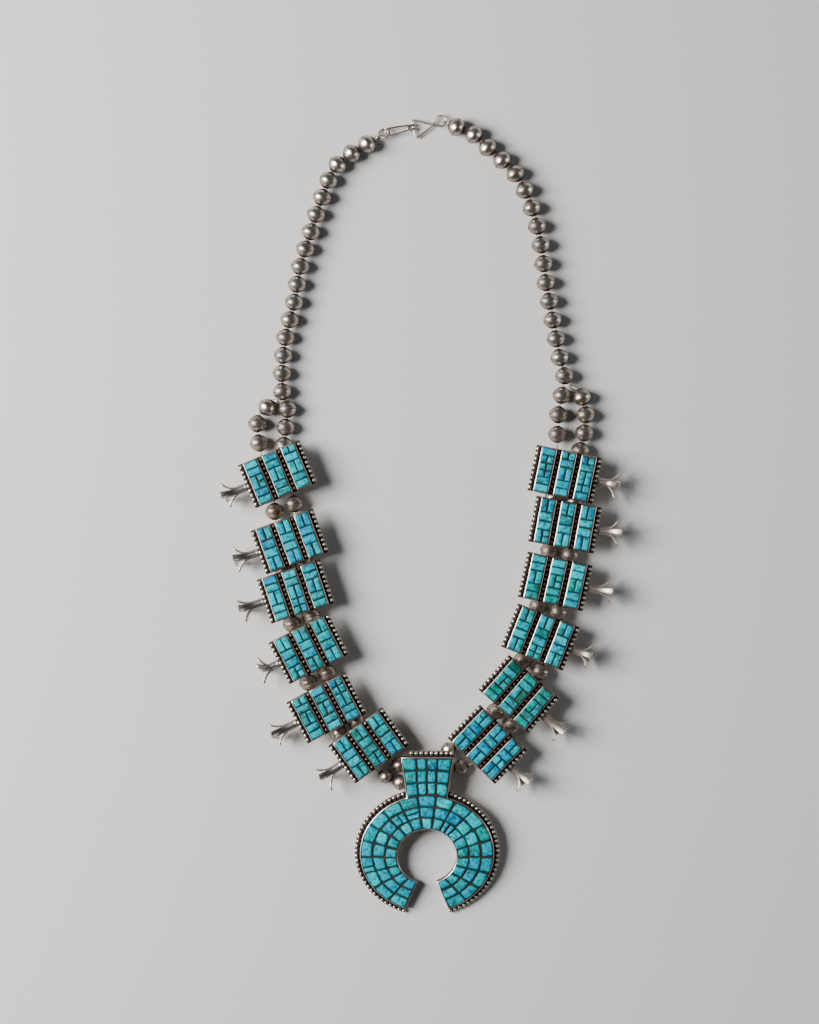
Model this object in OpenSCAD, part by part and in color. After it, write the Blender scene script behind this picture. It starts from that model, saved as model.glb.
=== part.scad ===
// Squash blossom necklace: hollow silver beads on two strings, twelve inlaid plaques with
// blossoms, and an inlaid naja under its bail. It lies flat and fastened, the clasp towards +Y
// and the stones towards +Z. All sizes are in millimetres.

/* [Beads] */
// Diameter of a bead across its seam
bead_d = 8; // [6.8:0.1:8.6]
// Length of a bead's two domes along the string
bead_l = 7.1; // [6:0.1:8]
// Diameter of the smaller beads beside the bail
small_bead_d = 6.6; // [5:0.1:7]
// Length of the smaller beads along the string
small_bead_l = 6; // [4.8:0.1:6.2]
// Thickness of the sheet that the beads are pressed from
bead_wall = 0.5; // [0.3:0.05:0.9]
// Diameter of the hole through a bead
bore_d = 1.7; // [1.4:0.1:2.2]
// Diameter of the flat collar round each hole
collar_d = 2.3; // [2.3:0.1:3.2]
// Free length left between neighbouring beads
bead_gap = 0.25; // [0.2:0.05:0.6]

/* [Strings] */
// Diameter of a string
string_d = 0.8; // [0.5:0.1:1]
// Distance between the two strings behind a plaque
strand_gap = 8.9; // [8.7:0.1:10]
// Diameter of the wire of the loops that hold the strings
loop_wire_d = 1.2; // [0.8:0.1:1.6]
// Inner width of those loops
loop_w = 2.2; // [1.6:0.1:3]

/* [Plaques] */
// Width of one box bezel, outside
bezel_w = 6.6; // [5.6:0.1:7.2]
// Length of the box bezels, outside
bezel_l = 19.2; // [16:0.2:21]
// Thickness of every bezel's strip
bezel_wall = 0.45; // [0.3:0.05:0.8]
// Height of the bezels above the plate
bezel_h = 2.6; // [1.8:0.1:3.6]
// Width of the channel between two bezels
channel_w = 1.9; // [1.8:0.1:2.6]
// Thickness of the plaques' plate
plate_t = 0.8; // [0.5:0.05:1.4]
// Distance from a bezel's side out to the middle of the outer row of drops
edge_w = 1.35; // [1.2:0.05:2]
// Diameter of a silver drop
drop_d = 1.7; // [1.2:0.05:1.75]
// Distance from drop to drop in a row
drop_pitch = 2.05; // [1.9:0.05:3]

/* [Stones] */
// Width of the mortar joint between stones
joint_w = 0.3; // [0.2:0.05:0.6]
// Height of the stones' tops above the bezel's edge
stone_proud = 0.4; // [0.1:0.05:0.8]
// Depth of the mortar below the bezel's edge
mortar_deep = 0.25; // [0.1:0.05:0.6]
// Width of the low shoulder round a stone's top
shoulder_w = 0.35; // [0.2:0.05:0.6]

/* [Blossoms] */
// Diameter of a blossom's stem
stem_d = 3.3; // [2.6:0.1:4]
// Length of the stem from the plate's edge to the petals
stem_l = 3.2; // [2:0.1:5]
// Width of a petal
petal_w = 3; // [1.8:0.1:3.4]
// Thickness of a petal
petal_t = 0.5; // [0.35:0.05:0.8]
// Length of a petal along the blossom
petal_l = 7.6; // [4:0.2:9]
// Distance from the blossom's middle line to a petal's tip
flare = 5.6; // [4:0.1:6.6]

/* [Naja] */
// Width of the crescent across its outer bezel
naja_w = 56.6; // [50:0.5:62]
// Height of the crescent's outer bezel ellipse
naja_h = 50.4; // [46:0.5:56]
// Width of the hollow inside the crescent
hollow_w = 24.8; // [18:0.5:28]
// Height of the hollow's ellipse
hollow_h = 23.1; // [18:0.5:26]
// How far the hollow's middle lies below the crescent's middle
hollow_drop = 1.15; // [0:0.05:2]
// Half angle of the opening at the bottom, in degrees
mouth = 18.5; // [10:0.5:30]
// Thickness of the naja's plate
naja_plate_t = 0.9; // [0.6:0.05:1.4]
// Width of the bail at its top
bail_top_w = 22.2; // [18:0.2:23]
// Width of the bail where it meets the crescent
bail_foot_w = 17.6; // [12:0.2:18]
// Height of the bail above the crescent's outer bezel
bail_h = 16; // [12:0.5:17]
// Rows of stones round the crescent
naja_rows = 3; // [2:1:4]
// Stones in each of those rows
naja_stones_n = 19; // [15:1:23]

/* [Clasp] */
// Diameter of the clasp's wire
wire_d = 0.8; // [0.5:0.05:0.95]
// Length of the hook from its closed end to its tip
hook_l = 13; // [11:0.2:14]
// Width of the hook at its closed end
hook_w = 2.9; // [2.6:0.1:3.4]
// Width of the hook at its tip
hook_tip_w = 1.7; // [1.5:0.1:2.2]
// Middle diameter of the round rings of the clasp
ring_d = 4.5; // [4.2:0.1:5.4]
// Middle diameter of the loops on the strings' ends
end_loop_d = 3.3; // [3:0.1:3.8]

/* [Hidden] */
$fn = 48;
collar_h = 0.1;
under_clear = 0.2;
loop_clear = 0.15;
touch_clear = 0.05;
spacer_room = 0.55;
fork_slack = 0.2;
sink = 0.35;

bead_pitch = bead_l + 2 * collar_h + bead_gap;
string_z = bead_d / 2;
crossing_z = small_bead_d / 2;
plate_z = bead_d + under_clear;
plaque_l = bezel_l + 0.4;
plaque_w = 3 * bezel_w + 2 * channel_w + 2 * edge_w + drop_d;
column_step = bezel_w + channel_w;
least_gap = 1.4;
loop_y = (plaque_l + least_gap - bead_l - 2 * collar_h - loop_wire_d) / 2 - spacer_room;
stone_bed = 0.05;
stone_clear = 0.08;

// The bail's top stays where the two sides meet it; the crescent hangs below
bail_top_at = [2.35, -101.4];
naja_at = bail_top_at - [0, bail_h + naja_h / 2];
clasp_top = 168.05;
clasp_y = clasp_top - 5;
origin_at = [0.02, (clasp_top + naja_at.y - (naja_h / 2 + edge_w + drop_d / 2) * cos(mouth)) / 2];

// The necklace's middle line on each side: chosen points from the bail up through the
// plaques to where the strands divide, then the run of single beads from the clasp down.
ROUTE = [
    [[-15.3, -106.7], [-22.2, -97.5], [-40, -81.7], [-47.4, -56.9], [-52.9, -32.8],
     [-55.4, -11.8], [-60.5, 16.4], [-63, 34]],
    [[20.4, -104.6], [27.7, -97.1], [40.8, -75.9], [49.9, -52], [56.1, -28.6],
     [60.2, -4.8], [60.1, 16.3], [63, 34]]
];
SINGLE = [
    [[-23, 155.5], [-35.5, 146.8], [-42.2, 132.4], [-46.8, 118.1], [-51.2, 103.6],
     [-53.8, 88.4], [-57.5, 73.5], [-58.9, 58], [-58.7, 51.2]],
    [[14.7, 162.7], [22.6, 159.1], [28.2, 153.6], [39.5, 142.9], [46.4, 128.5], [50.2, 113.4],
     [52.3, 97.5], [55.1, 81.8], [58.1, 66], [60.2, 57.8]]
];
// A fork strand's first bead, and how far it bows out at a share of its way to the plaque
FORK = [
    [[[-56.6, 43.7], 0.3, 0], [[-65, 44.5], 0.3, -3.7]],
    [[[59.1, 49.6], 0.35, -0.8], [[67.6, 48.8], 0.4, 2.3]]
];
// Small beads beside the bail: on the left of it, then on the right, of each string
CROSSING = [
    [[[-9.6, -106.1]], [[11.4, -99.8]]],
    [[[-15.2, -111], [-9.1, -113.6]], [[16.6, -107.1]]]
];
// The forks were chosen for this bead and pitch, the route for this width at the bail
fork_scale = max(bead_d / 8, bead_pitch / 7.55);
swing = (bail_top_w + plaque_w) / 2 - 25.1;

// Plaques of each side from the bail upwards: name, gap to the one below, lean of its own
// axis from +Y in degrees, and its three columns of stones from left to right, top first.
// w is one wide stone, d two short ones side by side, p a pair of tall ones, and q, r or s
// the same pair with its left one, its right one or both cut in two.
NAME = 0;
GAP = 1;
LEAN = 2;
CHART = 3;
PLAQUES = [
    [["l6", 1.7, 35.8, ["pwwp", "pwwr", "pwwp"]],
     ["l5", 4.3, 27.6, ["dwpww", "wwpww", "ddpww"]],
     ["l4", 6.4, 26.7, ["pwwr", "pwwp", "pwwp"]],
     ["l3", 5.1, 18.4, ["wwpww", "wwpdd", "wwpww"]],
     ["l2", 1.5, 20, ["pwwp", "pwwp", "pwwp"]],
     ["l1", 9.1, 22.5, ["wwrww", "wwpww", "dwpww"]]],
    [["r6", 0.7, -44.2, ["qwwp", "pwwp", "pwdp"]],
     ["r5", 5.3, -41.2, ["wwrww", "wwpww", "wwpww"]],
     ["r4", 6, -21.4, ["pwwp", "pwws", "pwwp"]],
     ["r3", 4.6, -12.5, ["wwpww", "wwrww", "wwpww"]],
     ["r2", 4.6, -10.5, ["pwwr", "pwwp", "pwwp"]],
     ["r1", 1.5, -12, ["wdsww", "dwpww", "dwpdw"]]]
];
SIDES = ["left", "right"];
INWARD = [1, -1];
STRANDS = ["inner", "outer"];

// Points in a row

function unit(v) = v / norm(v);
function last(list) = list[len(list) - 1];
function back(list) = [for (i = [len(list) - 1:-1:0]) list[i]];
function joined(lists) = [for (list = lists, item = list) item];
function turned(v, angle) = [v.x * cos(angle) - v.y * sin(angle), v.x * sin(angle) + v.y * cos(angle)];
function heading(from, to) = atan2(to.y - from.y, to.x - from.x) - 90;

// A smooth curve through chosen points, each stretch a cubic set by its neighbours
curve_steps = 10;
function curve(p, steps = curve_steps) = [
    for (i = [0:len(p) - 2])
        let (b = p[i], c = p[i + 1],
             a = i == 0 ? 2 * b - c : p[i - 1],
             d = i == len(p) - 2 ? 2 * c - b : p[i + 2])
        for (k = [0:steps - 1])
            let (t = k / steps)
            b + 0.5 * t * ((c - a) + t * ((2 * a - 5 * b + 4 * c - d) + t * (3 * b - a - 3 * c + d))),
    last(p)
];
function lengths(p) = [
    for (i = 0, s = 0; i < len(p);
         i = i + 1, s = i < len(p) ? s + norm(p[i] - p[i - 1]) : s) s];
// A track pairs the distance run with x and with y
function track(points) = let (p = curve(points), s = lengths(p))
    [[for (i = [0:len(p) - 1]) [s[i], p[i].x]], [for (i = [0:len(p) - 1]) [s[i], p[i].y]], last(s)];
function at(t, s) = [lookup(s, t[0]), lookup(s, t[1])];
function facing(t, s) = heading(at(t, max(0, s - 1)), at(t, min(t[2], s + 1)));

// Where things lie

// Both sides swing out about the clasp where the plaques or the bail are wider
function swung(side, p) = [p.x - INWARD[side] * swing * (clasp_y - p.y) / (clasp_y - bail_top_at.y), p.y];
function swung_all(side, list) = [for (p = list) swung(side, p)];

// A plaque's middle, its pieces summed upwards from the bail
PLAQUE_TRACK = [for (side = [0, 1]) track(swung_all(side, ROUTE[side]))];
function sum_gaps(side, i) = i < 0 ? 0 : PLAQUES[side][i][GAP] + sum_gaps(side, i - 1);
function plaque_at(side, i) = at(PLAQUE_TRACK[side], (i + 0.5) * plaque_l + sum_gaps(side, i));
function on_plaque(side, i, local) = plaque_at(side, i) + turned(local, PLAQUES[side][i][LEAN]);
// The hole of a plaque's loop: strand 0 is the inner string, end is -1 below and 1 above
function loop_hole(side, i, strand, end) =
    on_plaque(side, i, [(strand == 0 ? 1 : -1) * INWARD[side] * strand_gap / 2, end * loop_y]);

// Beads are listed as middle, angle from +Y, diameter and length
BEAD_AT = 0;
BEAD_TURN = 1;
BEAD_D = 2;
BEAD_L = 3;
// A point on a bead's own line, below its middle where along is negative
function on_bead(b, across, along) = b[BEAD_AT] + turned([across, along], b[BEAD_TURN]);
// Where the string bends, just inside both mouths of a bead
function bead_ends(b, z) =
    [for (end = [-1, 1]) concat(on_bead(b, 0, end * (b[BEAD_L] / 2 - 1.5 * collar_h)), z)];

// The single beads are spread along their track, which runs on into the inner fork strand
function fork_start(side, strand) = let (top = last(SINGLE[side]))
    swung(side, top + fork_scale * (FORK[side][strand][0] - top));
function single_beads(side) =
    let (t = track(concat(swung_all(side, SINGLE[side]), [fork_start(side, 0)])),
         run = t[0][(len(SINGLE[side]) - 1) * curve_steps][0],
         n = floor(run / bead_pitch))
    [for (k = [0:n]) let (s = run * k / n) [at(t, s), facing(t, s) + 180, bead_d, bead_l]];

// The inner strand leaves the last single bead's mouth, the outer starts beside it
function parting(side, strand) = let (b = last(single_beads(side)))
    strand == 0 ? on_bead(b, 0, -b[BEAD_L] / 2 + 1.5 * collar_h)
        : on_bead(b, -INWARD[side] * collar_d * 0.9, -bead_l / 2 - collar_h - bead_gap / 2);
function fork_beads(side, strand) =
    let (f = FORK[side][strand],
         start = fork_start(side, strand),
         hole = loop_hole(side, 5, strand, 1),
         t = track([parting(side, strand), start, start + f[1] * (hole - start) + [f[2], 0], hole]),
         first = t[0][curve_steps][0],
         room = t[2] - first - bead_l / 2 - collar_h - loop_wire_d / 2 - under_clear,
         n = floor(room / bead_pitch),
         step = bead_pitch + fork_slack * (room - n * bead_pitch) / max(n, 1))
    [for (k = [n:-1:0]) let (s = first + k * step) [at(t, s), facing(t, s) + 180, bead_d, bead_l]];

function spacer_bead(side, i, strand) =
    let (a = loop_hole(side, i, strand, 1), b = loop_hole(side, i + 1, strand, -1))
    [(a + b) / 2, heading(a, b), bead_d, bead_l];

// The small beads beside the bail, each in line with the points before and after it
function crossing_points(strand) = concat(
    [loop_hole(0, 0, strand, -1)], swung_all(0, CROSSING[strand][0]),
    swung_all(1, CROSSING[strand][1]), [loop_hole(1, 0, strand, -1)]);
function bail_beads(strand) = let (p = crossing_points(strand))
    [for (i = [1:len(p) - 2])
        [p[i], heading([0, 0], unit(p[i] - p[i - 1]) + unit(p[i + 1] - p[i])), small_bead_d, small_bead_l]];
// The two points where a string leaves the small beads to cross behind the bail
function behind_bail(strand) =
    let (b = bail_beads(strand), n = len(CROSSING[strand][0]))
    [bead_ends(b[n - 1], crossing_z)[1], bead_ends(b[n], crossing_z)[0]];

// The strings' points

function plaque_holes(side, i, strand) =
    [for (end = [-1, 1]) concat(loop_hole(side, i, strand, end), string_z)];
// A side's strand from the bail up to its top fork bead
function strand_up(side, strand) = concat(
    joined([for (i = [0:5]) concat(
        plaque_holes(side, i, strand),
        i < 5 ? bead_ends(spacer_bead(side, i, strand), string_z) : [])]),
    joined([for (b = fork_beads(side, strand)) bead_ends(b, string_z)]));
// Each strand's own end; the inner one starts inside the last single bead
function strand_end(side, strand) = concat(
    [concat(parting(side, strand), string_z)],
    strand == 0 ? [concat(on_bead(last(single_beads(side)), 0, -bead_l / 6), string_z)] : []);
function long_string(strand) = concat(
    back(strand_end(0, strand)), back(strand_up(0, strand)),
    joined([for (b = bail_beads(strand)) bead_ends(b, crossing_z)]),
    strand_up(1, strand), strand_end(1, strand));
// The single string runs from the middle of the first bead to the middle of the last
function single_string(side) = let (b = single_beads(side)) concat(
    [concat(b[0][BEAD_AT], string_z), bead_ends(b[0], string_z)[0]],
    joined([for (k = [1:len(b) - 2]) back(bead_ends(b[k], string_z))]),
    [bead_ends(last(b), string_z)[1], concat(last(b)[BEAD_AT], string_z)]);

// Wires and tubes

// The across direction is carried along the path, so the tube doesn't twist
function tangents(p) = [for (i = [0:len(p) - 1]) unit(p[min(i + 1, len(p) - 1)] - p[max(i - 1, 0)])];
function carried(n, t) = unit(n - (n * t) * t);
function acrosses(t) = [
    for (i = 0, n = carried([0.1, 0.2, 1], t[0]); i < len(t);
         i = i + 1, n = i < len(t) ? carried(n, t[i]) : n) n];

module tube(path, d, sides = 8) {
    along = tangents(path);
    across = acrosses(along);
    points = [for (i = [0:len(path) - 1], k = [0:sides - 1])
        let (a = 360 * (k + 0.5) / sides)
        path[i] + d / 2 * (cos(a) * across[i] + sin(a) * cross(along[i], across[i]))];
    bands = [for (i = [0:len(path) - 2], k = [0:sides - 1])
        let (m = (k + 1) % sides)
        [i * sides + k, (i + 1) * sides + k, (i + 1) * sides + m, i * sides + m]];
    first = [for (k = [0:sides - 1]) k];
    end = [for (k = [sides - 1:-1:0]) (len(path) - 1) * sides + k];
    polyhedron(points, concat(bands, [first, end]), convexity = 10);
}

module ring(middle_d, d) rotate_extrude() translate([middle_d / 2, 0]) circle(d = d, $fn = 24);

// Beads

module domes(r, offset_z) intersection() {
    translate([0, 0, offset_z]) sphere(r, $fn = 64);
    translate([0, 0, -offset_z]) sphere(r, $fn = 64);
}

// Two equal domes that meet in a crease at the seam, hollow and drilled
module bead(d, l) {
    dome_r = (d * d + l * l) / (4 * l);
    difference() {
        union() {
            domes(dome_r, dome_r - l / 2);
            cylinder(d = collar_d, h = l + 2 * collar_h, center = true);
        }
        domes(dome_r - bead_wall, dome_r - l / 2);
        cylinder(d = bore_d, h = 2 * l, center = true);
    }
}

module beads(list, z) color("silver")
    for (b = list)
        translate(concat(b[BEAD_AT], z)) rotate([0, 0, b[BEAD_TURN]]) rotate([90, 0, 0])
            bead(b[BEAD_D], b[BEAD_L]);

// Plaques

// A wire loop under a plate: a half ring round the string and two legs up to the plate
module string_loop(z, top) {
    bend = (loop_w + loop_wire_d) / 2;
    low = z - string_d / 2 - loop_clear - loop_wire_d / 2;
    translate([0, 0, low + bend]) rotate([90, 0, 0])
        rotate_extrude(start = 180, angle = 180) translate([bend, 0]) circle(d = loop_wire_d, $fn = 24);
    for (x = [-bend, bend])
        translate([x, 0, low + bend]) cylinder(d = loop_wire_d, h = top - low - bend, $fn = 24);
}

// A row of drops along Y, sunk a little into the plate
module drop_row(l, top) {
    n = floor((l - drop_d) / drop_pitch);
    for (k = [0:n])
        translate([0, (k - n / 2) * drop_pitch, top + drop_d / 2 - sink]) sphere(d = drop_d, $fn = 32);
}

// One strip petal, its side view bent outwards and its width straight
module petal() {
    bend = [for (k = [0:6]) let (u = k / 6) [u * petal_l, stem_d / 2 - petal_t / 2 +
        (flare - stem_d / 2) * (0.25 * u + 0.75 * pow(u, 3))]];
    t = tangents(bend);
    side = [for (i = [0:len(bend) - 1]) petal_t / 2 * [-t[i].y, t[i].x]];
    rotate([90, 0, 0]) linear_extrude(petal_w, center = true)
        polygon(concat(bend + side, back(bend - side)));
}

// A blossom along +X: a round stem that opens in four petals
module blossom() {
    translate([-sink * 2, 0, 0]) rotate([0, 90, 0]) cylinder(d = stem_d, h = stem_l + sink * 2);
    for (a = [0:90:270])
        translate([stem_l - sink, 0, 0]) rotate([a, 0, 0]) petal();
}

module box_bezel(x) translate([x, 0, plate_t]) difference() {
    translate([-bezel_w / 2, -bezel_l / 2, -sink]) cube([bezel_w, bezel_l, bezel_h + sink]);
    translate([-bezel_w / 2 + bezel_wall, -bezel_l / 2 + bezel_wall, -sink])
        cube([bezel_w - 2 * bezel_wall, bezel_l - 2 * bezel_wall, bezel_h + 2 * sink]);
}

module plaque(side, i) {
    out = -INWARD[side];
    stem_z = -stem_d / 2 + plate_t - 0.1;
    color("silver") translate(concat(plaque_at(side, i), plate_z)) rotate([0, 0, PLAQUES[side][i][LEAN]]) {
        translate([-plaque_w / 2, -plaque_l / 2, 0]) cube([plaque_w, plaque_l, plate_t]);
        for (c = [-1:1]) box_bezel(c * column_step);
        for (x = [-column_step / 2, column_step / 2, -plaque_w / 2 + drop_d / 2, plaque_w / 2 - drop_d / 2])
            translate([x, 0, 0]) drop_row(plaque_l, plate_t);
        for (x = [-1, 1], end = [-1, 1])
            translate([x * strand_gap / 2, end * loop_y, -plate_z])
                string_loop(string_z, plate_z + plate_t / 2);
        translate([out * (plaque_w / 2), 0, stem_z]) rotate([0, 0, out > 0 ? 0 : 180]) blossom();
    }
}

// Inlay

// A polygon that runs clockwise, with every side drawn in by g
function drawn_in(p, g) = [for (i = [0:len(p) - 1])
    let (u = unit(p[i] - p[(i + len(p) - 1) % len(p)]), v = unit(p[(i + 1) % len(p)] - p[i]),
         turn = u.y * v.x - u.x * v.y)
    abs(turn) < 0.001 ? p[i] + g * [u.y, -u.x] : p[i] + g / turn * (v - u)];

// A stone as a low box with a smaller, higher top
module stone(x0, x1, y0, y1, z, low, high) {
    g = joint_w / 2;
    translate([x0 + g, y0 + g, z]) cube([x1 - x0 - 2 * g, y1 - y0 - 2 * g, low]);
    translate([x0 + g + shoulder_w, y0 + g + shoulder_w, z])
        cube([x1 - x0 - 2 * (g + shoulder_w), y1 - y0 - 2 * (g + shoulder_w), high]);
}

// Heights of a column's stones as shares: pairs are tall, and taller where there is one pair
function share(codes, i) = codes[i] == "w" || codes[i] == "d" ? 1 : 0.5 + 0.25 * len(codes);
function shares(codes, i) = i < 0 ? 0 : share(codes, i) + shares(codes, i - 1);

// A column of stones on their bed of mortar, as one bonded slab
module column(codes) {
    w = bezel_w - 2 * bezel_wall - 2 * touch_clear;
    l = bezel_l - 2 * bezel_wall - 2 * touch_clear;
    all = shares(codes, len(codes) - 1);
    bed = bezel_h - mortar_deep - stone_bed;
    translate([-w / 2, -l / 2, 0]) cube([w, l, bed]);
    for (k = [0:len(codes) - 1]) {
        code = codes[k];
        y1 = l / 2 - l * shares(codes, k - 1) / all;
        y0 = l / 2 - l * shares(codes, k) / all;
        splits = code == "w" ? [[-1, 1]] : [[-1, 0], [0, 1]];
        for (c = [0:len(splits) - 1]) {
            x = splits[c] * w / 2;
            cut = code == "s" || (code == "q" && c == 0) || (code == "r" && c == 1);
            low = bed / 2 + mortar_deep;
            for (part = cut ? [[y0, (y0 + y1) / 2], [(y0 + y1) / 2, y1]] : [[y0, y1]])
                stone(x[0], x[1], part[0], part[1], bed / 2, low, low + stone_proud);
        }
    }
}

module inlay(side, i) color("darkturquoise")
    translate(concat(plaque_at(side, i), plate_z + plate_t + stone_bed))
        rotate([0, 0, PLAQUES[side][i][LEAN]])
            for (c = [0:2]) translate([(c - 1) * column_step, 0, 0]) column(PLAQUES[side][i][CHART][c]);

// Naja

// The hollow's edge and the outer edge at an angle from the top, moved out by grow
function hollow_edge(a, grow) =
    [(hollow_w / 2 + grow) * sin(a), (hollow_h / 2 + grow) * cos(a) - hollow_drop];
function outer_edge(a, grow) = [(naja_w / 2 + grow) * sin(a), (naja_h / 2 + grow) * cos(a)];
// The angle that a length covers near the crescent's ends, on one edge or the other
function at_hollow(l) = l / norm(hollow_edge(180 - mouth + 0.5, 0) - hollow_edge(180 - mouth - 0.5, 0));
function at_outside(l) = l / norm(outer_edge(180 - mouth + 0.5, 0) - outer_edge(180 - mouth - 0.5, 0));
naja_end = 180 - mouth;

// The crescent's outline, moved out at its outer edge, in at its hollow and on at its ends
module crescent(out, inn, on) {
    steps = 3 * naja_stones_n;
    far = naja_end + at_outside(on);
    near = naja_end + at_hollow(on);
    polygon(concat(
        [for (k = [0:steps]) outer_edge(-far + 2 * far * k / steps, out)],
        [for (k = [steps:-1:0]) hollow_edge(-near + 2 * near * k / steps, -inn)]));
}

bail_y = naja_h / 2;
bail_slope = (bail_top_w - bail_foot_w) / 2 / bail_h;
function bail_half(y) = bail_foot_w / 2 + bail_slope * (y - bail_y);
// The bail's outline with its sides and its top moved out, its foot well inside the crescent
module bail_outline(out, up) {
    foot = bail_y - bail_foot_w / 4;
    top = bail_y + bail_h + up;
    polygon([[-bail_half(foot) - out, foot], [bail_half(foot) + out, foot],
             [bail_half(top) + out, top], [-bail_half(top) - out, top]]);
}

// The naja lies on the crescent's lower end, with the bail raised onto the small beads
foot_y = (naja_h / 2 + edge_w + drop_d / 2) * cos(mouth);
crossing_y = CROSSING[1][0][1].y - naja_at.y;
naja_tilt = asin((small_bead_d + under_clear * 2) / (foot_y + crossing_y));
module tilted() translate([naja_at.x, naja_at.y - foot_y, 0]) rotate([naja_tilt, 0, 0])
    translate([0, foot_y, 0]) children();
function naja_under(y) = (y - naja_at.y + foot_y) * tan(naja_tilt);

module naja_setting() color("silver") {
    rim = edge_w + drop_d / 2;
    tilted() {
        linear_extrude(naja_plate_t) {
            crescent(rim, 0, 0);
            bail_outline(0, 0);
            bail_shelf(rim);
        }
        translate([0, 0, naja_plate_t - sink]) linear_extrude(bezel_h + sink) difference() {
            union() {
                crescent(0, 0, 0);
                bail_outline(0, 0);
            }
            union() {
                crescent(-bezel_wall, -bezel_wall, -bezel_wall);
                bail_outline(-bezel_wall, -bezel_wall);
            }
        }
        naja_drops();
        shelf_drops();
    }
    bail_loops();
}

// Drops round the crescent on both sides of the bail
module naja_drops() {
    start = asin((bail_foot_w / 2 + drop_d / 2) / (naja_w / 2));
    run = lengths([for (k = [0:40]) outer_edge(start + (naja_end - 0.8 - start) * k / 40, edge_w)]);
    n = floor(last(run) / drop_pitch);
    for (side = [-1, 1], k = [0:n])
        let (f = lookup(last(run) * k / n, [for (i = [0:40]) [run[i], i / 40]]))
            translate(concat(outer_edge(side * (start + (naja_end - 0.8 - start) * f), edge_w),
                naja_plate_t + drop_d / 2 - sink))
                sphere(d = drop_d, $fn = 32);
}

// The ledge along the bail's top edge, its left end cut back beside the plaque that lies there
shelf_cut = 0.16 * bail_top_w;
module bail_shelf(deep) translate([0, bail_y + bail_h]) polygon([
    [-bail_top_w / 2 + touch_clear, -sink], [-bail_top_w / 2 + shelf_cut * 0.7, deep],
    [bail_top_w / 2, deep], [bail_top_w / 2, -sink]]);
module shelf_drops() {
    l = bail_top_w - shelf_cut - drop_d;
    n = floor(l / drop_pitch);
    translate([bail_top_w / 2 - drop_d / 2, bail_y + bail_h + edge_w, naja_plate_t + drop_d / 2 - sink])
        for (k = [0:n]) translate([-k * l / n, 0, 0]) sphere(d = drop_d, $fn = 32);
}

// Two loops behind the bail on each string
module bail_loops() for (strand = [0, 1], f = [0.34, 0.68]) {
    ends = behind_bail(strand);
    p = ends[0] + f * (ends[1] - ends[0]);
    translate([p.x, p.y, 0]) rotate([0, 0, heading(ends[0], ends[1])])
        string_loop(crossing_z, naja_under(p.y) + naja_plate_t / 2);
}

// Stones fill the bezel up to this margin; each is then drawn in by half a joint
naja_margin = bezel_wall + stone_clear - joint_w / 2;

module naja_stone(cell) translate([0, 0, naja_plate_t + stone_bed]) {
    linear_extrude(bezel_h) polygon(drawn_in(cell, joint_w / 2));
    linear_extrude(bezel_h + stone_proud) polygon(drawn_in(cell, joint_w / 2 + shoulder_w));
}

// A point of the stones' field: k stones round from the left end, r rows out from the hollow
function cell_point(k, r) =
    let (f = r / naja_rows,
         end = naja_end - (1 - f) * at_hollow(naja_margin) - f * at_outside(naja_margin),
         a = end * (2 * k / naja_stones_n - 1))
    (1 - f) * hollow_edge(a, naja_margin) + f * outer_edge(a, -naja_margin);

module naja_stones() color("turquoise") tilted()
    for (r = [0:naja_rows - 1], k = [0:naja_stones_n - 1])
        naja_stone(concat(
            [for (j = [0:3]) cell_point(k + j / 3, r + 1)],
            [for (j = [3:-1:0]) cell_point(k + j / 3, r)]));

// Edges of the bail's four columns as shares of its half width, and its row count
BAIL_COLUMNS = [-1, -0.43, 0, 0.43, 1];
bail_rows = 3;
// A point of the bail's field: u across, v from 0 on the crescent's edge to 1 at the top
function bail_point(u, v) =
    let (x0 = u * (bail_foot_w / 2 - naja_margin),
         y0 = naja_h / 2 * sqrt(1 - pow(2 * x0 / naja_w, 2)),
         y = y0 + v * (bail_y + bail_h - naja_margin - y0))
    [u * (bail_half(y) - naja_margin), y];

module bail_stones() color("turquoise") tilted()
    for (c = [0:3], r = [0:bail_rows - 1])
        let (u0 = BAIL_COLUMNS[c], u1 = BAIL_COLUMNS[c + 1],
             v0 = r / bail_rows, v1 = (r + 1) / bail_rows)
            naja_stone([bail_point(u0, v0), bail_point(u0, v1), bail_point(u1, v1),
                bail_point(u1, v0), bail_point((u0 + u1) / 2, v0)]);

// Clasp

// The end loops stand on edge beyond the first beads, and the rings hang from them
end_wire_d = 0.8 * wire_d;
end_loop_z = end_loop_d / 2 + end_wire_d / 2 + touch_clear;
end_reach = bead_l / 2 + collar_h + touch_clear + end_wire_d / 2 + end_loop_d / 2;
ring_play = (end_loop_d - end_wire_d - wire_d) / 2 - touch_clear;
jump_ring_at = on_bead(single_beads(0)[0], 0, end_reach + ring_d / 2 + ring_play);
eye_loop_at = on_bead(single_beads(1)[0], 0, end_reach + ring_d / 2 - ring_play);
hook_turn = heading(jump_ring_at, eye_loop_at);
ring_tilt = 32;
hook_roll = -12;
hook_start = ring_d / 2 - hook_w / 2 - 0.3;
// Heights of the hook's upper and lower leg at its tip, and of the eye's wire between them
hook_low = wire_d / 2 + touch_clear;
eye_low = hook_low + wire_d + touch_clear;
hook_high = eye_low + 1.6 * wire_d + touch_clear;

module end_loop(side) color("silver")
    translate(concat(on_bead(single_beads(side)[0], 0, end_reach), 0))
        rotate([0, 0, single_beads(side)[0][BEAD_TURN]]) {
            translate([0, 0, end_loop_z]) rotate([0, 90, 0]) ring(end_loop_d, end_wire_d);
            tube([[0, -end_loop_d * 0.35, end_loop_z + end_loop_d * 0.35],
                  [0, -end_loop_d * 0.5, string_z - 0.2],
                  [0, -end_loop_d / 2 - 0.8, string_z],
                  [0, -end_loop_d / 2 - 1.6, string_z]], end_wire_d);
        }

module jump_ring() color("silver")
    translate(concat(jump_ring_at, end_loop_z)) rotate([0, 0, single_beads(0)[0][BEAD_TURN]])
        rotate([0, -ring_tilt, 0])
        ring(ring_d, wire_d);

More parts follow.
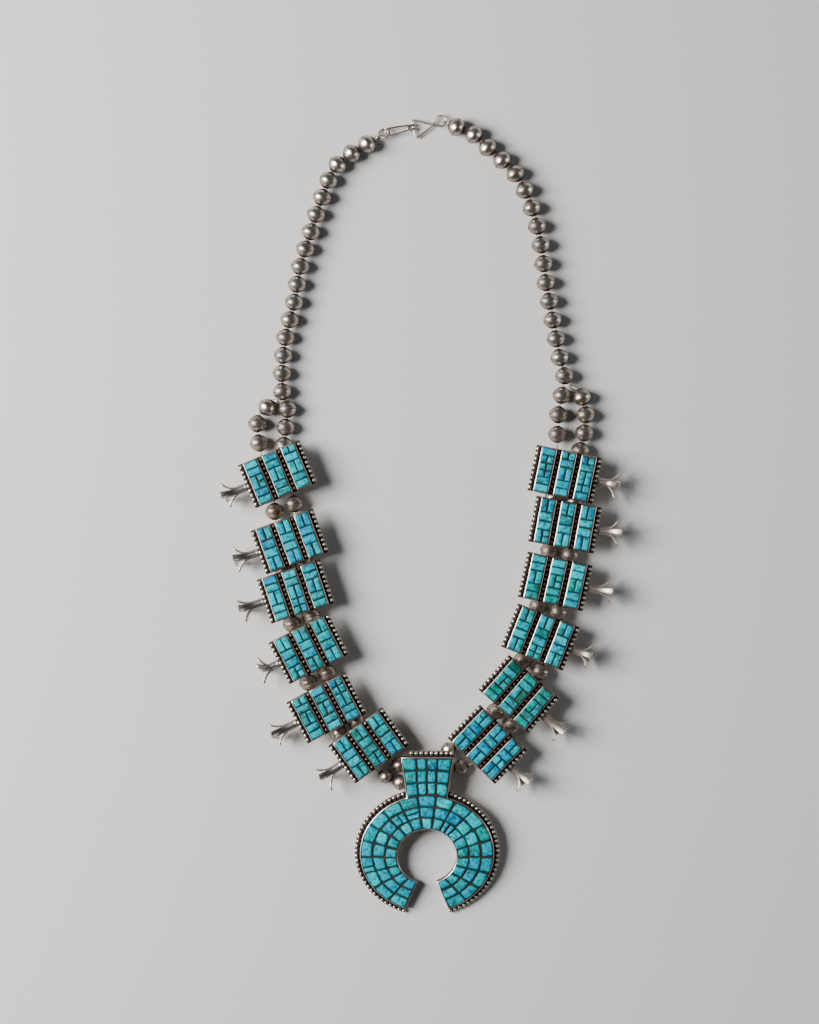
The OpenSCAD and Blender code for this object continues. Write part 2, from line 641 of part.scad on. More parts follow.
function arc(middle, r, from, to, steps) =
    [for (k = [0:steps]) let (a = from + (to - from) * k / steps) middle + r * [cos(a), sin(a)]];
// Half of the hook's wire: from the closed end, up to the tip, round it and back below
function hook_half() =
    let (w = hook_w / 2, t = hook_tip_w / 2, bend = (hook_high - hook_low) / 2, turn_y = hook_l - bend,
         top = concat(arc([0, w], w, 272, 360, 6),
             [[w, hook_l * 0.3], [(w + t) / 2, hook_l * 0.62], [t, turn_y - 1.5]]),
         first_z = end_loop_z + wire_d / 2)
    concat(
        [for (p = top) concat(p, first_z + (hook_high - first_z) * p.y / (turn_y - 1.5))],
        [for (p = arc([turn_y, hook_high - bend], bend, 90, -90, 8)) [t, p.x, p.y]],
        [[t, turn_y - 1.2, hook_low], [t * 0.75, turn_y - 2, hook_low], [0.05, turn_y - 2.3, hook_low]]);

// Towards its closed end the hook is rolled a little, to clear the ring
function rolled(p) = let (a = hook_roll * max(0, 1 - p.y / hook_l / 0.6))
    [p.x * cos(a), p.y, p.z + p.x * sin(a)];
module hook() color("silver") {
    half = hook_half();
    translate(concat(jump_ring_at, 0)) rotate([0, 0, hook_turn]) translate([0, hook_start, 0])
        tube(concat([for (p = half) rolled(p)], back([for (p = half) rolled([-p.x, p.y, p.z])])), wire_d);
}

// A corner bent to a small radius
function bent(before, corner, after, r) =
    let (u = unit(before - corner), v = unit(after - corner))
    [corner + r * u, corner + 0.3 * r * (u + v), corner + r * v];

// The eye, +Y towards the hook: a round loop, then a crossing that opens into a triangle
EYE_CORNERS = [3.3, -5.1];
EYE_CROSS = [-0.95, 3.8];
module eye() color("silver") {
    r = ring_d / 2;
    over = wire_d / 2 + touch_clear;
    side_y = norm(eye_loop_at - jump_ring_at) - hook_start - hook_l + wire_d + 2 * touch_clear;
    right = [EYE_CORNERS[0], side_y + 0.2];
    left = [EYE_CORNERS[1], side_y];
    seam = [-0.5 * hook_w - 1.2, side_y];
    out = atan2(EYE_CROSS.y, EYE_CROSS.x);
    open = acos(r / norm(EYE_CROSS));
    flat = concat(
        [seam + [0.05, 0]], bent(seam, right, EYE_CROSS, 0.9), [EYE_CROSS],
        arc([0, 0], r, out + open, out + 360 - open, 16), [EYE_CROSS],
        bent(EYE_CROSS, left, seam, 0.9), [seam - [0.05, 0]]);
    n = len(flat) - 1;
    // One pass of the crossing lies over the other, and the whole eye rises to the end loop
    lift = [for (k = [0:n]) k < 4 ? 0 : k > n - 4 ? 0 : over * (1 - 2 * (k - 4) / (n - 8))];
    translate(concat(eye_loop_at, 0)) rotate([0, 0, hook_turn + 180])
        tube([for (k = [0:n]) concat(flat[k],
            end_loop_z + (eye_low - end_loop_z) * (flat[k].y + r) / (side_y + r) + lift[k])], wire_d);
}

module placed() translate([-origin_at.x, -origin_at.y, 0]) children();

placed() {
    naja_setting();
    naja_stones();
    bail_stones();
    for (side = [0, 1], i = [0:5]) {
        plaque(side, i);
        inlay(side, i);
    }
    for (side = [0, 1]) {
        beads(single_beads(side), string_z);
        beads(concat(fork_beads(side, 0), fork_beads(side, 1)), string_z);
        beads([for (i = [0:4], strand = [0, 1]) spacer_bead(side, i, strand)], string_z);
        color("dimgray") tube(single_string(side), string_d);
        end_loop(side);
    }
    beads(concat(bail_beads(0), bail_beads(1)), crossing_z);
    for (strand = [0, 1])
        color("dimgray") tube(long_string(strand), string_d);
    hook();
    jump_ring();
    eye();
}
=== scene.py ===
import bpy
import numpy as np
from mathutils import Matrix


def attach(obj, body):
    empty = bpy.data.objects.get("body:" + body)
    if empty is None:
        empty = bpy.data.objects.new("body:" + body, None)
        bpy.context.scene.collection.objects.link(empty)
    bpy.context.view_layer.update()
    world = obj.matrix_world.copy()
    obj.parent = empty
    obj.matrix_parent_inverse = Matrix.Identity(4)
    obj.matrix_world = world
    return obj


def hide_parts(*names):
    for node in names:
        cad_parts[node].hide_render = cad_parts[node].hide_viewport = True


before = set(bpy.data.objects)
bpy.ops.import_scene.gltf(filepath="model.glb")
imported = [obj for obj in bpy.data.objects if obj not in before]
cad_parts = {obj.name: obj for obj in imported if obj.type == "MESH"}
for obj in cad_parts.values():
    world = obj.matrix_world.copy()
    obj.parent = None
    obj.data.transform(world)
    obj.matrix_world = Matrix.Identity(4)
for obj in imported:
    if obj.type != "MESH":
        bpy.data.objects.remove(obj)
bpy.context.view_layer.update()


# Camera, floor and light
# The necklace lies on a plain pale floor and is seen straight from above through a long lens.
# A broad soft lamp stands on the left and a small one on the right; the room is dim.

# In metres: what the picture covers from top to bottom at the bead tops, the middle of it, how high
# the bead tops are, and how far over them the lens stands
PHOTO_HEIGHT, PHOTO_MIDDLE, SEEN_HEIGHT, LENS_DISTANCE = 0.4301, (-0.00506, 0.00069), 0.008, 1.2
SENSOR, FLOOR_REACH = 36, 3

camera = bpy.data.objects.new("camera", bpy.data.cameras.new("camera"))
bpy.context.scene.collection.objects.link(camera)
camera.data.sensor_width = SENSOR
camera.data.lens = SENSOR * LENS_DISTANCE / PHOTO_HEIGHT
camera.location = (*PHOTO_MIDDLE, LENS_DISTANCE + SEEN_HEIGHT)
bpy.context.scene.camera = camera

floor_mesh = bpy.data.meshes.new("floor")
corners = [(x * FLOOR_REACH, y * FLOOR_REACH, 0) for x, y in ((-1, -1), (1, -1), (1, 1), (-1, 1))]
floor_mesh.from_pydata(corners, [], [(0, 1, 2, 3)])
floor = bpy.data.objects.new("floor", floor_mesh)
bpy.context.scene.collection.objects.link(floor)

# Name, place, size, watts and colour of each lamp; each looks at the middle of the necklace
LAMPS = [
    ("key", (-0.95, 0.14, 0.76), (0.7, 0.85), 38.0, (1.0, 0.97, 0.93)),
    ("rim", (1.1, 0.02, 0.24), (0.2, 0.5), 2.2, (1.0, 0.98, 0.96)),
]
for name, place, size, watts, colour in LAMPS:
    lamp = bpy.data.objects.new(name, bpy.data.lights.new(name, "AREA"))
    bpy.context.scene.collection.objects.link(lamp)
    lamp.data.shape = "ELLIPSE"
    lamp.data.size, lamp.data.size_y = size
    lamp.data.energy = watts
    lamp.data.color = colour
    lamp.location = place
    lamp.rotation_euler = (-lamp.location).to_track_quat("-Z", "Y").to_euler()

room = bpy.data.worlds.new("room")
room.use_nodes = True
room.node_tree.nodes["Background"].inputs["Color"].default_value = (0.72, 0.75, 0.8, 1)
room.node_tree.nodes["Background"].inputs["Strength"].default_value = 0.07
bpy.context.scene.world = room


def node(tree, kind, inputs=None, **settings):
    """One shader node. Settings are its properties; inputs maps a socket to a value or to what feeds it."""
    made = tree.nodes.new(kind)
    for key, value in settings.items():
        setattr(made, key, value)
    for key, value in (inputs or {}).items():
        if isinstance(value, bpy.types.NodeSocket):
            tree.links.new(value, made.inputs[key])
        else:
            made.inputs[key].default_value = value
    return made


def material(name):
    """A material with its Principled shader: returns both and the node tree."""
    made = bpy.data.materials.new(name)
    made.use_nodes = True
    return made, made.node_tree, made.node_tree.nodes["Principled BSDF"]


paper, tree, shader = material("pale paper")
grain = node(tree, "ShaderNodeTexNoise", {"Scale": 900.0, "Detail": 3.0,
             "Vector": node(tree, "ShaderNodeTexCoord").outputs["Object"]})
tone = node(tree, "ShaderNodeMapRange", {"Value": grain.outputs[0], "To Min": 0.68, "To Max": 0.74})
tree.links.new(tone.outputs[0], shader.inputs["Base Color"])
shader.inputs["Roughness"].default_value = 0.85
shader.inputs["Specular IOR Level"].default_value = 0.2
floor_mesh.materials.append(paper)


# The lay of the necklace
# Both sides hang from the clasp to the bail on chosen points, in millimetres, as the CAD's do.
# The plaques and the beads are spread along smooth curves through these points.

BEAD_D, BEAD_L, SMALL_D, SMALL_L = 8.0, 7.1, 6.6, 6.0
COLLAR_H, COLLAR_D, BEAD_GAP, STRAND_GAP, FORK_PLAY, FORK_SLACK = 0.1, 2.3, 0.25, 8.9, 0.2, 0.2
BEZEL_L, PLATE_SPARE, LOOP_WIRE, LEAST_GAP, SPACER_ROOM = 19.2, 0.4, 1.2, 1.4, 0.55
EDGE_W, DROP_D, NAJA_H, MOUTH, BAIL_H, CLASP_TOP = 1.35, 1.7, 50.4, 18.5, 16.0, 168.05
MOUTH_IN = 1.5 * COLLAR_H
PITCH = BEAD_L + 2 * COLLAR_H + BEAD_GAP
STRING_Z, CROSSING_Z = BEAD_D / 2, SMALL_D / 2
PLAQUE_L = BEZEL_L + PLATE_SPARE
LOOP_Y = (PLAQUE_L + LEAST_GAP - BEAD_L - 2 * COLLAR_H - LOOP_WIRE) / 2 - SPACER_ROOM
BAIL_TOP = np.array([2.35, -101.4])
NAJA_AT = BAIL_TOP - [0, BAIL_H + NAJA_H / 2]
# The frame's origin, as the CAD has it: midway between the clasp's top and the naja's foot
ORIGIN = np.array([0.02, (CLASP_TOP + NAJA_AT[1] - (NAJA_H / 2 + EDGE_W + DROP_D / 2)
                          * np.cos(np.radians(MOUTH))) / 2, 0])
# Both sides, the left one first, and which way along X the middle lies from each
SIDES, INWARD = ("left", "right"), (1, -1)

# The plaques' line up from the bail, and the single beads' line down from the clasp
ROUTE = [
    [(-15.3, -106.7), (-22.2, -97.5), (-40, -81.7), (-47.4, -56.9), (-52.9, -32.8),
     (-55.4, -11.8), (-60.5, 16.4), (-63, 34)],
    [(20.4, -104.6), (27.7, -97.1), (40.8, -75.9), (49.9, -52), (56.1, -28.6),
     (60.2, -4.8), (60.1, 16.3), (63, 34)]]
SINGLE = [
    [(-23, 155.5), (-35.5, 146.8), (-42.2, 132.4), (-46.8, 118.1), (-51.2, 103.6),
     (-53.8, 88.4), (-57.5, 73.5), (-58.9, 58), (-58.7, 51.2)],
    [(14.7, 162.7), (22.6, 159.1), (28.2, 153.6), (39.5, 142.9), (46.4, 128.5), (50.2, 113.4),
     (52.3, 97.5), (55.1, 81.8), (58.1, 66), (60.2, 57.8)]]
# A fork strand's first bead, and how far it bows out at a share of its way to the plaque
FORK = [[((-56.6, 43.7), 0.3, 0), ((-65, 44.5), 0.3, -3.7)],
        [((59.1, 49.6), 0.35, -0.8), ((67.6, 48.8), 0.4, 2.3)]]
# The small beads beside the bail: for each strand, those on the left and those on the right
CROSSING = [[[(-9.6, -106.1)], [(11.4, -99.8)]],
            [[(-15.2, -111), (-9.1, -113.6)], [(16.6, -107.1)]]]
# Name, gap to the one below, and lean of each plaque, from the bail upwards
PLAQUES = [
    [("l6", 1.7, 35.8), ("l5", 4.3, 27.6), ("l4", 6.4, 26.7), ("l3", 5.1, 18.4),
     ("l2", 1.5, 20), ("l1", 9.1, 22.5)],
    [("r6", 0.7, -44.2), ("r5", 5.3, -41.2), ("r4", 6, -21.4), ("r3", 4.6, -12.5),
     ("r2", 4.6, -10.5), ("r1", 1.5, -12)]]
TOP_PLAQUE = len(PLAQUES[0]) - 1


def turned(v, degrees):
    """The last axis' first two values turned about the third, by one angle or by each its own."""
    c, s = np.cos(np.radians(degrees)), np.sin(np.radians(degrees))
    v = np.asarray(v, float)
    out = v.copy()
    out[..., 0] = v[..., 0] * c - v[..., 1] * s
    out[..., 1] = v[..., 0] * s + v[..., 1] * c
    return out


def heading(a, b):
    """The angle of the way from a to b, counted from +Y."""
    return np.degrees(np.arctan2(b[1] - a[1], b[0] - a[0])) - 90


CURVE_STEPS = 10


def curve(points, steps=CURVE_STEPS):
    """A smooth curve: each stretch is the cubic of its two ends and their two neighbours."""
    p = np.array(points, float)
    p = np.vstack([2 * p[0] - p[1], p, 2 * p[-1] - p[-2]])
    a, b, c, d = (p[k:len(p) - 3 + k, None] for k in range(4))
    t = np.arange(steps)[None, :, None] / steps
    run = b + 0.5 * t * ((c - a) + t * ((2 * a - 5 * b + 4 * c - d) + t * (3 * b - a - 3 * c + d)))
    return np.vstack([run.reshape(-1, p.shape[1]), p[-2]])


def distance_run(p):
    """The distance run at each point of a line: its stretches summed up."""
    return np.append(0, np.cumsum(np.linalg.norm(np.diff(p, axis=0), axis=1)))


def track(points):
    """A curve with the distance run at each of its points."""
    p = curve(points)
    return p, distance_run(p)


def at(line, s):
    """The point at distance s along a track."""
    return np.array([np.interp(s, line[1], line[0][:, k]) for k in (0, 1)])


def facing(line, s):
    """The track's own angle at distance s."""
    return heading(at(line, max(0, s - 1)), at(line, min(line[1][-1], s + 1)))


PLAQUE_TRACK = [track(r) for r in ROUTE]


def plaque_at(side, i):
    """A plaque's middle: its pieces and gaps are summed upwards from the bail."""
    return at(PLAQUE_TRACK[side], (i + 0.5) * PLAQUE_L + sum(p[1] for p in PLAQUES[side][:i + 1]))


def loop_hole(side, i, strand, end):
    """The middle of the hole of a plaque's string loop; end is -1 below and 1 above."""
    across = (1 if strand == 0 else -1) * INWARD[side] * STRAND_GAP / 2
    return plaque_at(side, i) + turned([across, end * LOOP_Y], PLAQUES[side][i][2])


def on_bead(b, across, along):
    """A point on a bead's own line."""
    return b[0] + turned([across, along], b[1])


def bead_ends(b, z):
    """Where the string bends, just inside both mouths of a bead."""
    return [np.append(on_bead(b, 0, e * (b[3] / 2 - MOUTH_IN)), z) for e in (-1, 1)]


def single_beads(side):
    """Each bead is its middle, angle, diameter and length; they are evenly spread from the clasp."""
    line = track(SINGLE[side] + [FORK[side][0][0]])
    run = line[1][(len(SINGLE[side]) - 1) * CURVE_STEPS]
    n = int(run / PITCH)
    return [(at(line, run * k / n), facing(line, run * k / n) + 180, BEAD_D, BEAD_L)
            for k in range(n + 1)]


def parting(side, strand):
    """Where a fork strand leaves the last single bead."""
    b = single_beads(side)[-1]
    if strand == 0:
        return on_bead(b, 0, -b[3] / 2 + MOUTH_IN)
    return on_bead(b, -INWARD[side] * COLLAR_D * 0.9, -BEAD_L / 2 - COLLAR_H - BEAD_GAP / 2)


def fork_beads(side, strand):
    """The three or four beads of a fork strand, from the plaque up."""
    start, share, bow = FORK[side][strand]
    start = np.array(start)
    hole = loop_hole(side, TOP_PLAQUE, strand, 1)
    line = track([parting(side, strand), start, start + share * (hole - start) + [bow, 0], hole])
    first = line[1][CURVE_STEPS]
    room = line[1][-1] - first - BEAD_L / 2 - COLLAR_H - LOOP_WIRE / 2 - FORK_PLAY
    n = int(room / PITCH)
    step = PITCH + FORK_SLACK * (room - n * PITCH) / max(n, 1)
    return [(at(line, first + k * step), facing(line, first + k * step) + 180, BEAD_D, BEAD_L)
            for k in range(n, -1, -1)]


def spacer_bead(side, i, strand):
    """The bead between two neighbouring plaques' loops."""
    a, b = loop_hole(side, i, strand, 1), loop_hole(side, i + 1, strand, -1)
    return (a + b) / 2, heading(a, b), BEAD_D, BEAD_L


def bail_beads(strand):
    """The small beads beside the bail, each in line with the points before and after it."""
    p = np.array([loop_hole(0, 0, strand, -1), *CROSSING[strand][0], *CROSSING[strand][1],
                  loop_hole(1, 0, strand, -1)])
    unit = np.diff(p, axis=0) / np.linalg.norm(np.diff(p, axis=0), axis=1)[:, None]
    return [(p[i], heading((0, 0), unit[i - 1] + unit[i]), SMALL_D, SMALL_L)
            for i in range(1, len(p) - 1)]


# Silver beads
# Each bead is two domes pressed from sheet silver and soldered rim to rim, with a fine seam
# round the middle and a small raised mouth at each hole. They are strung close, mouth to mouth.

def solid(grids, ring=False, **marks):
    """A skin over outlines: grids is (copies, rows, columns, 3). Quads join each row to the next and
    each row closes on itself; the end rows get a flat face, or meet each other where ring is set.
    Faces turn outwards: the sign of the first copy's volume decides. Marks are values at the points."""
    grids = np.asarray(grids, float)
    if grids.ndim == 3:
        grids = grids[None]
    n, rows, cols, _ = grids.shape
    i, j = np.arange(rows if ring else rows - 1)[:, None], np.arange(cols)[None]
    up, on = (i + 1) % rows, (j + 1) % cols
    quads = np.stack([i * cols + j, i * cols + on, up * cols + on, up * cols + j], -1).reshape(-1, 4)
    p = grids[0].reshape(-1, 3) - grids[0].reshape(-1, 3).mean(0)
    fans = [quads[:, [0, 1, 2]], quads[:, [0, 2, 3]]]
    loops, counts = quads.ravel(), np.full(len(quads), 4)
    if not ring:
        low, high = np.arange(cols)[::-1], (rows - 1) * cols + np.arange(cols)
        loops, counts = np.concatenate([loops, low, high]), np.append(counts, [cols, cols])
        fans += [np.stack([np.full(cols - 2, c[0]), c[1:-1], c[2:]], -1) for c in (low, high)]
    fans = np.concatenate(fans)
    if np.einsum("ij,ij->", p[fans[:, 0]], np.cross(p[fans[:, 1]], p[fans[:, 2]])) < 0:
        loops, counts = loops[::-1], counts[::-1]
    loops = (loops[None] + rows * cols * np.arange(n)[:, None]).ravel()
    return {"points": grids.reshape(-1, 3), "loops": loops, "counts": np.tile(counts, n),
            "marks": {k: np.broadcast_to(v, (n, rows, cols)).ravel() for k, v in marks.items()}}


def moved(shape, lean=0.0, to=(0, 0, 0)):
    """A shape turned about Z and then shifted."""
    return {**shape, "points": turned(shape["points"], lean) + np.asarray(to, float)}


def piece(name, shapes, finish, slot, *nodes):
    """Joins the shapes, in millimetres, into one mesh in metres that rides on the only body and
    stands for its CAD nodes. The marks become attributes of the points."""
    start = np.cumsum([0] + [len(s["points"]) for s in shapes])
    loops = np.concatenate([s["loops"] + k for s, k in zip(shapes, start)]).astype(np.int32)
    counts = np.concatenate([s["counts"] for s in shapes])
    points = (np.concatenate([s["points"] for s in shapes]) - ORIGIN) / 1000
    mesh = bpy.data.meshes.new(name)
    mesh.vertices.add(len(points))
    mesh.vertices.foreach_set("co", points.astype(np.float32).ravel())
    mesh.loops.add(len(loops))
    mesh.loops.foreach_set("vertex_index", loops)
    mesh.polygons.add(len(counts))
    mesh.polygons.foreach_set("loop_start", np.append(0, np.cumsum(counts)[:-1]).astype(np.int32))
    mesh.update(calc_edges=True)
    mesh.polygons.foreach_set("use_smooth", np.ones(len(counts), bool))
    mesh.set_sharp_from_angle(angle=np.radians(50))
    for mark in sorted(set().union(*(s["marks"] for s in shapes))):
        values = np.concatenate([s["marks"].get(mark, np.zeros(len(s["points"]))) for s in shapes])
        mesh.attributes.new(mark, "FLOAT", "POINT").data.foreach_set("value", values.astype(np.float32))
    mesh.materials.append(finish)
    made = bpy.data.objects.new(name, mesh)
    bpy.context.scene.collection.objects.link(made)
    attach(made, "root")
    if nodes:
        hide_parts(*nodes)
    return made


def group(name, ins, outs):
    """An empty node group with its sockets: ins and outs are lists of (name, kind)."""
    made = bpy.data.node_groups.new(name, "ShaderNodeTree")
    for label, kind in ins:
        made.interface.new_socket(label, in_out="INPUT", socket_type=kind)
    for label, kind in outs:
        made.interface.new_socket(label, in_out="OUTPUT", socket_type=kind)
    return made, made.nodes.new("NodeGroupInput").outputs, made.nodes.new("NodeGroupOutput").inputs


def millimetres(tree):
    """The piece's own coordinates, scaled so that one unit is a millimetre."""
    return node(tree, "ShaderNodeVectorMath", {
        0: node(tree, "ShaderNodeTexCoord").outputs["Object"], "Scale": 1000.0},
        operation="SCALE").outputs[0]


def noise(vector, scale, detail=2.0, rough=0.5, distort=0.0, seed=None):
    """Cloudy noise from 0 to 1; a seed shifts it along a fourth axis."""
    inputs = {"Vector": vector, "Scale": scale, "Detail": detail, "Roughness": rough,
              "Distortion": distort}
    if seed is not None:
        inputs["W"] = seed
    return node(vector.id_data, "ShaderNodeTexNoise", inputs,
                noise_dimensions="3D" if seed is None else "4D").outputs["Fac"]


def spread(value, low, high, to_low=0.0, to_high=1.0):
    """A smooth step between low and high."""
    return node(value.id_data, "ShaderNodeMapRange", {
        "Value": value, "From Min": low, "From Max": high, "To Min": to_low, "To Max": to_high},
        interpolation_type="SMOOTHSTEP").outputs[0]


def maths(operation, a, b=0.0):
    """One sum of two values, in the node tree of the one that is a socket."""
    tree = (a if isinstance(a, bpy.types.NodeSocket) else b).id_data
    return node(tree, "ShaderNodeMath", {0: a, 1: b}, operation=operation).outputs[0]


def plus(a, b):
    """a + b."""
    return maths("ADD", a, b)


def times(a, b):
    """a * b."""
    return maths("MULTIPLY", a, b)


def ragged(value, cloud, amount):
    """A value moved up and down by noise, so that its steps are ragged: value + (noise - 0.5) * amount."""
    return plus(value, times(maths("SUBTRACT", cloud, 0.5), amount))


def blend(share, a, b):
    """Colour a where share is 0, and b where it is 1."""
    return node(share.id_data, "ShaderNodeMix", {0: share, 6: a, 7: b}, data_type="RGBA").outputs[2]


def put_out(outs, **wires):
    """Joins each wire to the group's output of its name."""
    for label, wire in wires.items():
        wire.id_data.links.new(wire, outs[label])


def embossed(shader, height, strength, depth):
    """Gives a shader a relief: the height's bump, of this strength and depth in metres."""
    tree = shader.id_data
    bump = node(tree, "ShaderNodeBump", {"Strength": strength, "Distance": depth, "Height": height})
    tree.links.new(bump.outputs[0], shader.inputs["Normal"])


def wearing(name, look, marks, relief, depth):
    """A material that wears a group's look, fed by the pieces' marks: returns it, the group's inputs
    and the shader."""
    made, tree, shader = material(name)
    worn = node(tree, "ShaderNodeGroup", node_tree=look)
    for label in marks:
        mark = node(tree, "ShaderNodeAttribute", attribute_name=label.lower())
        tree.links.new(mark.outputs["Fac"], worn.inputs[label])
    for label, socket in (("Color", "Base Color"), ("Metallic", "Metallic"), ("Roughness", "Roughness")):
        if label in worn.outputs:
            tree.links.new(worn.outputs[label], shader.inputs[socket])
    embossed(shader, worn.outputs["Height"], relief, depth)
    return made, worn.inputs, shader


# Old silver: a thin brown film in patches, near black sulphide where the mark is high, an orange stain where
# its own mark says, and fine scratches. The mark holds patina in the hollows and also the painted shade that
# the pieces add.
old_silver, ins, outs = group(
    "old silver",
    [("Recess", "NodeSocketFloat"), ("Bright", "NodeSocketColor"), ("Film", "NodeSocketColor"),
     ("Film amount", "NodeSocketFloat"), ("Polish", "NodeSocketFloat"), ("Stain", "NodeSocketFloat")],
    [("Color", "NodeSocketColor"), ("Metallic", "NodeSocketFloat"),
     ("Roughness", "NodeSocketFloat"), ("Height", "NodeSocketFloat")])
here = millimetres(old_silver)
patches = noise(here, 0.22, 4.0, 0.6, 0.8)
specks = noise(here, 2.6, 3.0, 0.65)
brushed = node(old_silver, "ShaderNodeMapping", {
    "Vector": here, "Rotation": (0.3, 0.5, 0.6), "Scale": (1.0, 14.0, 1.0)}).outputs[0]
scratches = noise(brushed, 1.1, 3.0, 0.7)
film = times(spread(plus(patches, times(ins["Recess"], 0.8)), 0.38, 0.74), ins["Film amount"])
stained = spread(ragged(ins["Stain"], specks, 1.3), 0.3, 1.0)
dark = spread(ragged(ins["Recess"], specks, 0.7), 0.4, 0.95)
colour = blend(film, ins["Bright"], ins["Film"])
colour = blend(times(stained, 0.9), colour, (0.36, 0.15, 0.03, 1))
put_out(outs, Color=blend(dark, colour, (0.032, 0.016, 0.012, 1)),
        Metallic=spread(dark, 0.3, 1.0, 1.0, 0.35),
        Roughness=plus(ins["Polish"], plus(times(dark, 0.35), times(plus(scratches, film), 0.1))),
        Height=plus(scratches, times(specks, 0.6)))


def silver(name, bright, film, amount, polish, relief):
    """A silver finish: its clean colour, its film's colour and amount, its polish and its relief."""
    made, worn, _ = wearing(name, old_silver, ("Recess", "Stain"), relief, 0.00005)
    for label, value in (("Bright", bright + (1,)), ("Film", film + (1,)),
                         ("Film amount", amount), ("Polish", polish)):
        worn[label].default_value = value
    return made


bead_silver = silver("bead silver", (0.84, 0.79, 0.73), (0.28, 0.22, 0.175), 0.8, 0.24, 0.22)
BORE_D, BEAD_WALL, SEAM_TURN, AROUND = 1.7, 0.5, 10, 36
# Shares of a bead's radius: how far its wall is drawn in, so that its waves stay within the plain bead, and
# the height below which the bead is painted darker and darker as shade
DENT, UNDERSIDE_SHADE_REACH = 0.008, 0.82
# The beads between the plaques and those beside the bail get painted shade: their mark is raised so they
# render darker
SPACER_PAINTED_SHADE, SMALL_PAINTED_SHADE = 0.18, 0.12
# One bead between the two upper left plaques has an orange stain on its right shoulder
STAIN_AT = np.append(spacer_bead(0, 4, 1)[0] + (1.9, -0.2), STRING_Z + 3.0)
STAIN_REACH = 1.3
rng = np.random.default_rng(11)


def bead_profile(d, l):
    """Distance along the hole, radius and recess mark, round a bead's wall and back through its
    inside. Each dome is an ellipse from SEAM_TURN degrees on, so that the two meet in a blunt edge,
    cut off where the raised mouth starts; inside it is a sphere's wall."""
    half, r = l / 2 + COLLAR_H, (d * d + l * l) / (4 * l)
    off = r - l / 2
    t, low = np.radians(np.linspace(SEAM_TURN + 3, 68, 9)), np.sin(np.radians(SEAM_TURN))
    seam = [(0.0, d / 2 - 0.13, 1.2), (0.07, d / 2 - 0.1, 0.9), (0.16, d / 2 - 0.03, 0.2)]
    dome = list(zip(l / 2 * (np.sin(t) - low) / (1 - low), d / 2 * np.cos(t) / np.sqrt(1 - low ** 2),
                    [0.0] * 5 + [0.05, 0.2, 0.4, 0.6]))
    neck = dome[-1][0]
    mouth = [(neck + 0.55 * (half - 0.2 - neck), 1.3, 0.8), (half - 0.16, 1.17, 0.7),
             (half - 0.06, COLLAR_D / 2 - 0.03, 0.4), (half, COLLAR_D / 2 - 0.1, 0.4),
             (half, BORE_D / 2 + 0.06, 1.0), (half - 0.1, BORE_D / 2, 1.1)]
    inner = r - BEAD_WALL
    t = np.radians(np.linspace(np.degrees(np.arcsin(min(0.95, (half - 0.9 + off) / inner))),
                               np.degrees(np.arcsin(off / inner)), 5))
    inside = list(zip(inner * np.sin(t) - off, inner * np.cos(t), [1.1] * 5))
    one = np.array(seam + dome + mouth + inside)
    return np.vstack([one, one[1:-1][::-1] * [-1, 1, 1]]).T


def beads(listed, z, added_shade=0.0):
    """Profiles spun round each bead's own line. Shallow dents are waves round and along the wall. The mark is
    the profile's own patina plus the added painted shade, and it grows downwards as painted shade on the
    bead's lower part."""
    shapes = []
    for d, l in sorted({b[2:] for b in listed}):
        some = [b for b in listed if b[2:] == (d, l)]
        x, r, recess = bead_profile(d, l)[:, None, :, None]
        a = np.arange(AROUND) * 2 * np.pi / AROUND
        phase = rng.uniform(0, 2 * np.pi, (3, len(some), 1, 1))
        weak = rng.uniform(0.2, 1.0, (len(some), 1, 1))
        dent = weak * (0.006 * np.sin(3 * a + phase[0] + 0.8 * x) + 0.005 * np.sin(2 * a + phase[1] - 1.3 * x)
                       + 0.003 * np.sin(7 * a + phase[2] + 2 * x)) * np.clip((r - 1.4) / 1.5, 0, 1)
        r = r * (1 - DENT + np.minimum(dent, DENT))
        across, up = r * np.cos(a), r * np.sin(a)
        lean = np.array([b[1] for b in some])[:, None, None]
        middle = np.array([(*b[0], z) for b in some])[:, None, None]
        grids = turned(np.stack([across, x + 0 * r, up], -1), lean) + middle
        # Painted shade: the mark grows towards each bead's underside, so its lower part is darker
        under = np.clip(UNDERSIDE_SHADE_REACH - up / (d / 2), 0, 1)
        stain = np.clip(1.7 - np.linalg.norm(grids - STAIN_AT, axis=-1) / STAIN_REACH, 0, 1)
        shapes.append(solid(grids, ring=True, recess=recess + under + added_shade, stain=stain))
    return shapes


for side, word in enumerate(SIDES):
    piece(f"strand_{word}", beads(single_beads(side), STRING_Z), bead_silver, "bead_silver",
          f"single_beads_{word}")
    piece(f"fork_{word}", beads(fork_beads(side, 0) + fork_beads(side, 1), STRING_Z),
          bead_silver, "bead_silver", f"fork_beads_{word}")
    between = [spacer_bead(side, i, strand) for i in range(TOP_PLAQUE) for strand in (0, 1)]
    piece(f"spacers_{word}", beads(between, STRING_Z, SPACER_PAINTED_SHADE), bead_silver, "bead_silver",
          f"spacer_beads_{word}")
piece("crossing_beads", beads(bail_beads(0) + bail_beads(1), CROSSING_Z, SMALL_PAINTED_SHADE), bead_silver,
      "bead_silver", "bail_beads")


# Strings
# Two strands of fine twisted wire carry everything. They part below the last single bead, run
# through the loops behind the plaques and cross behind the bail between the small beads.

STRING_D, STRING_STEP, PLIES, TWIST, PLY_DEPTH = 0.8, 0.55, 3, 1.1, 0.12


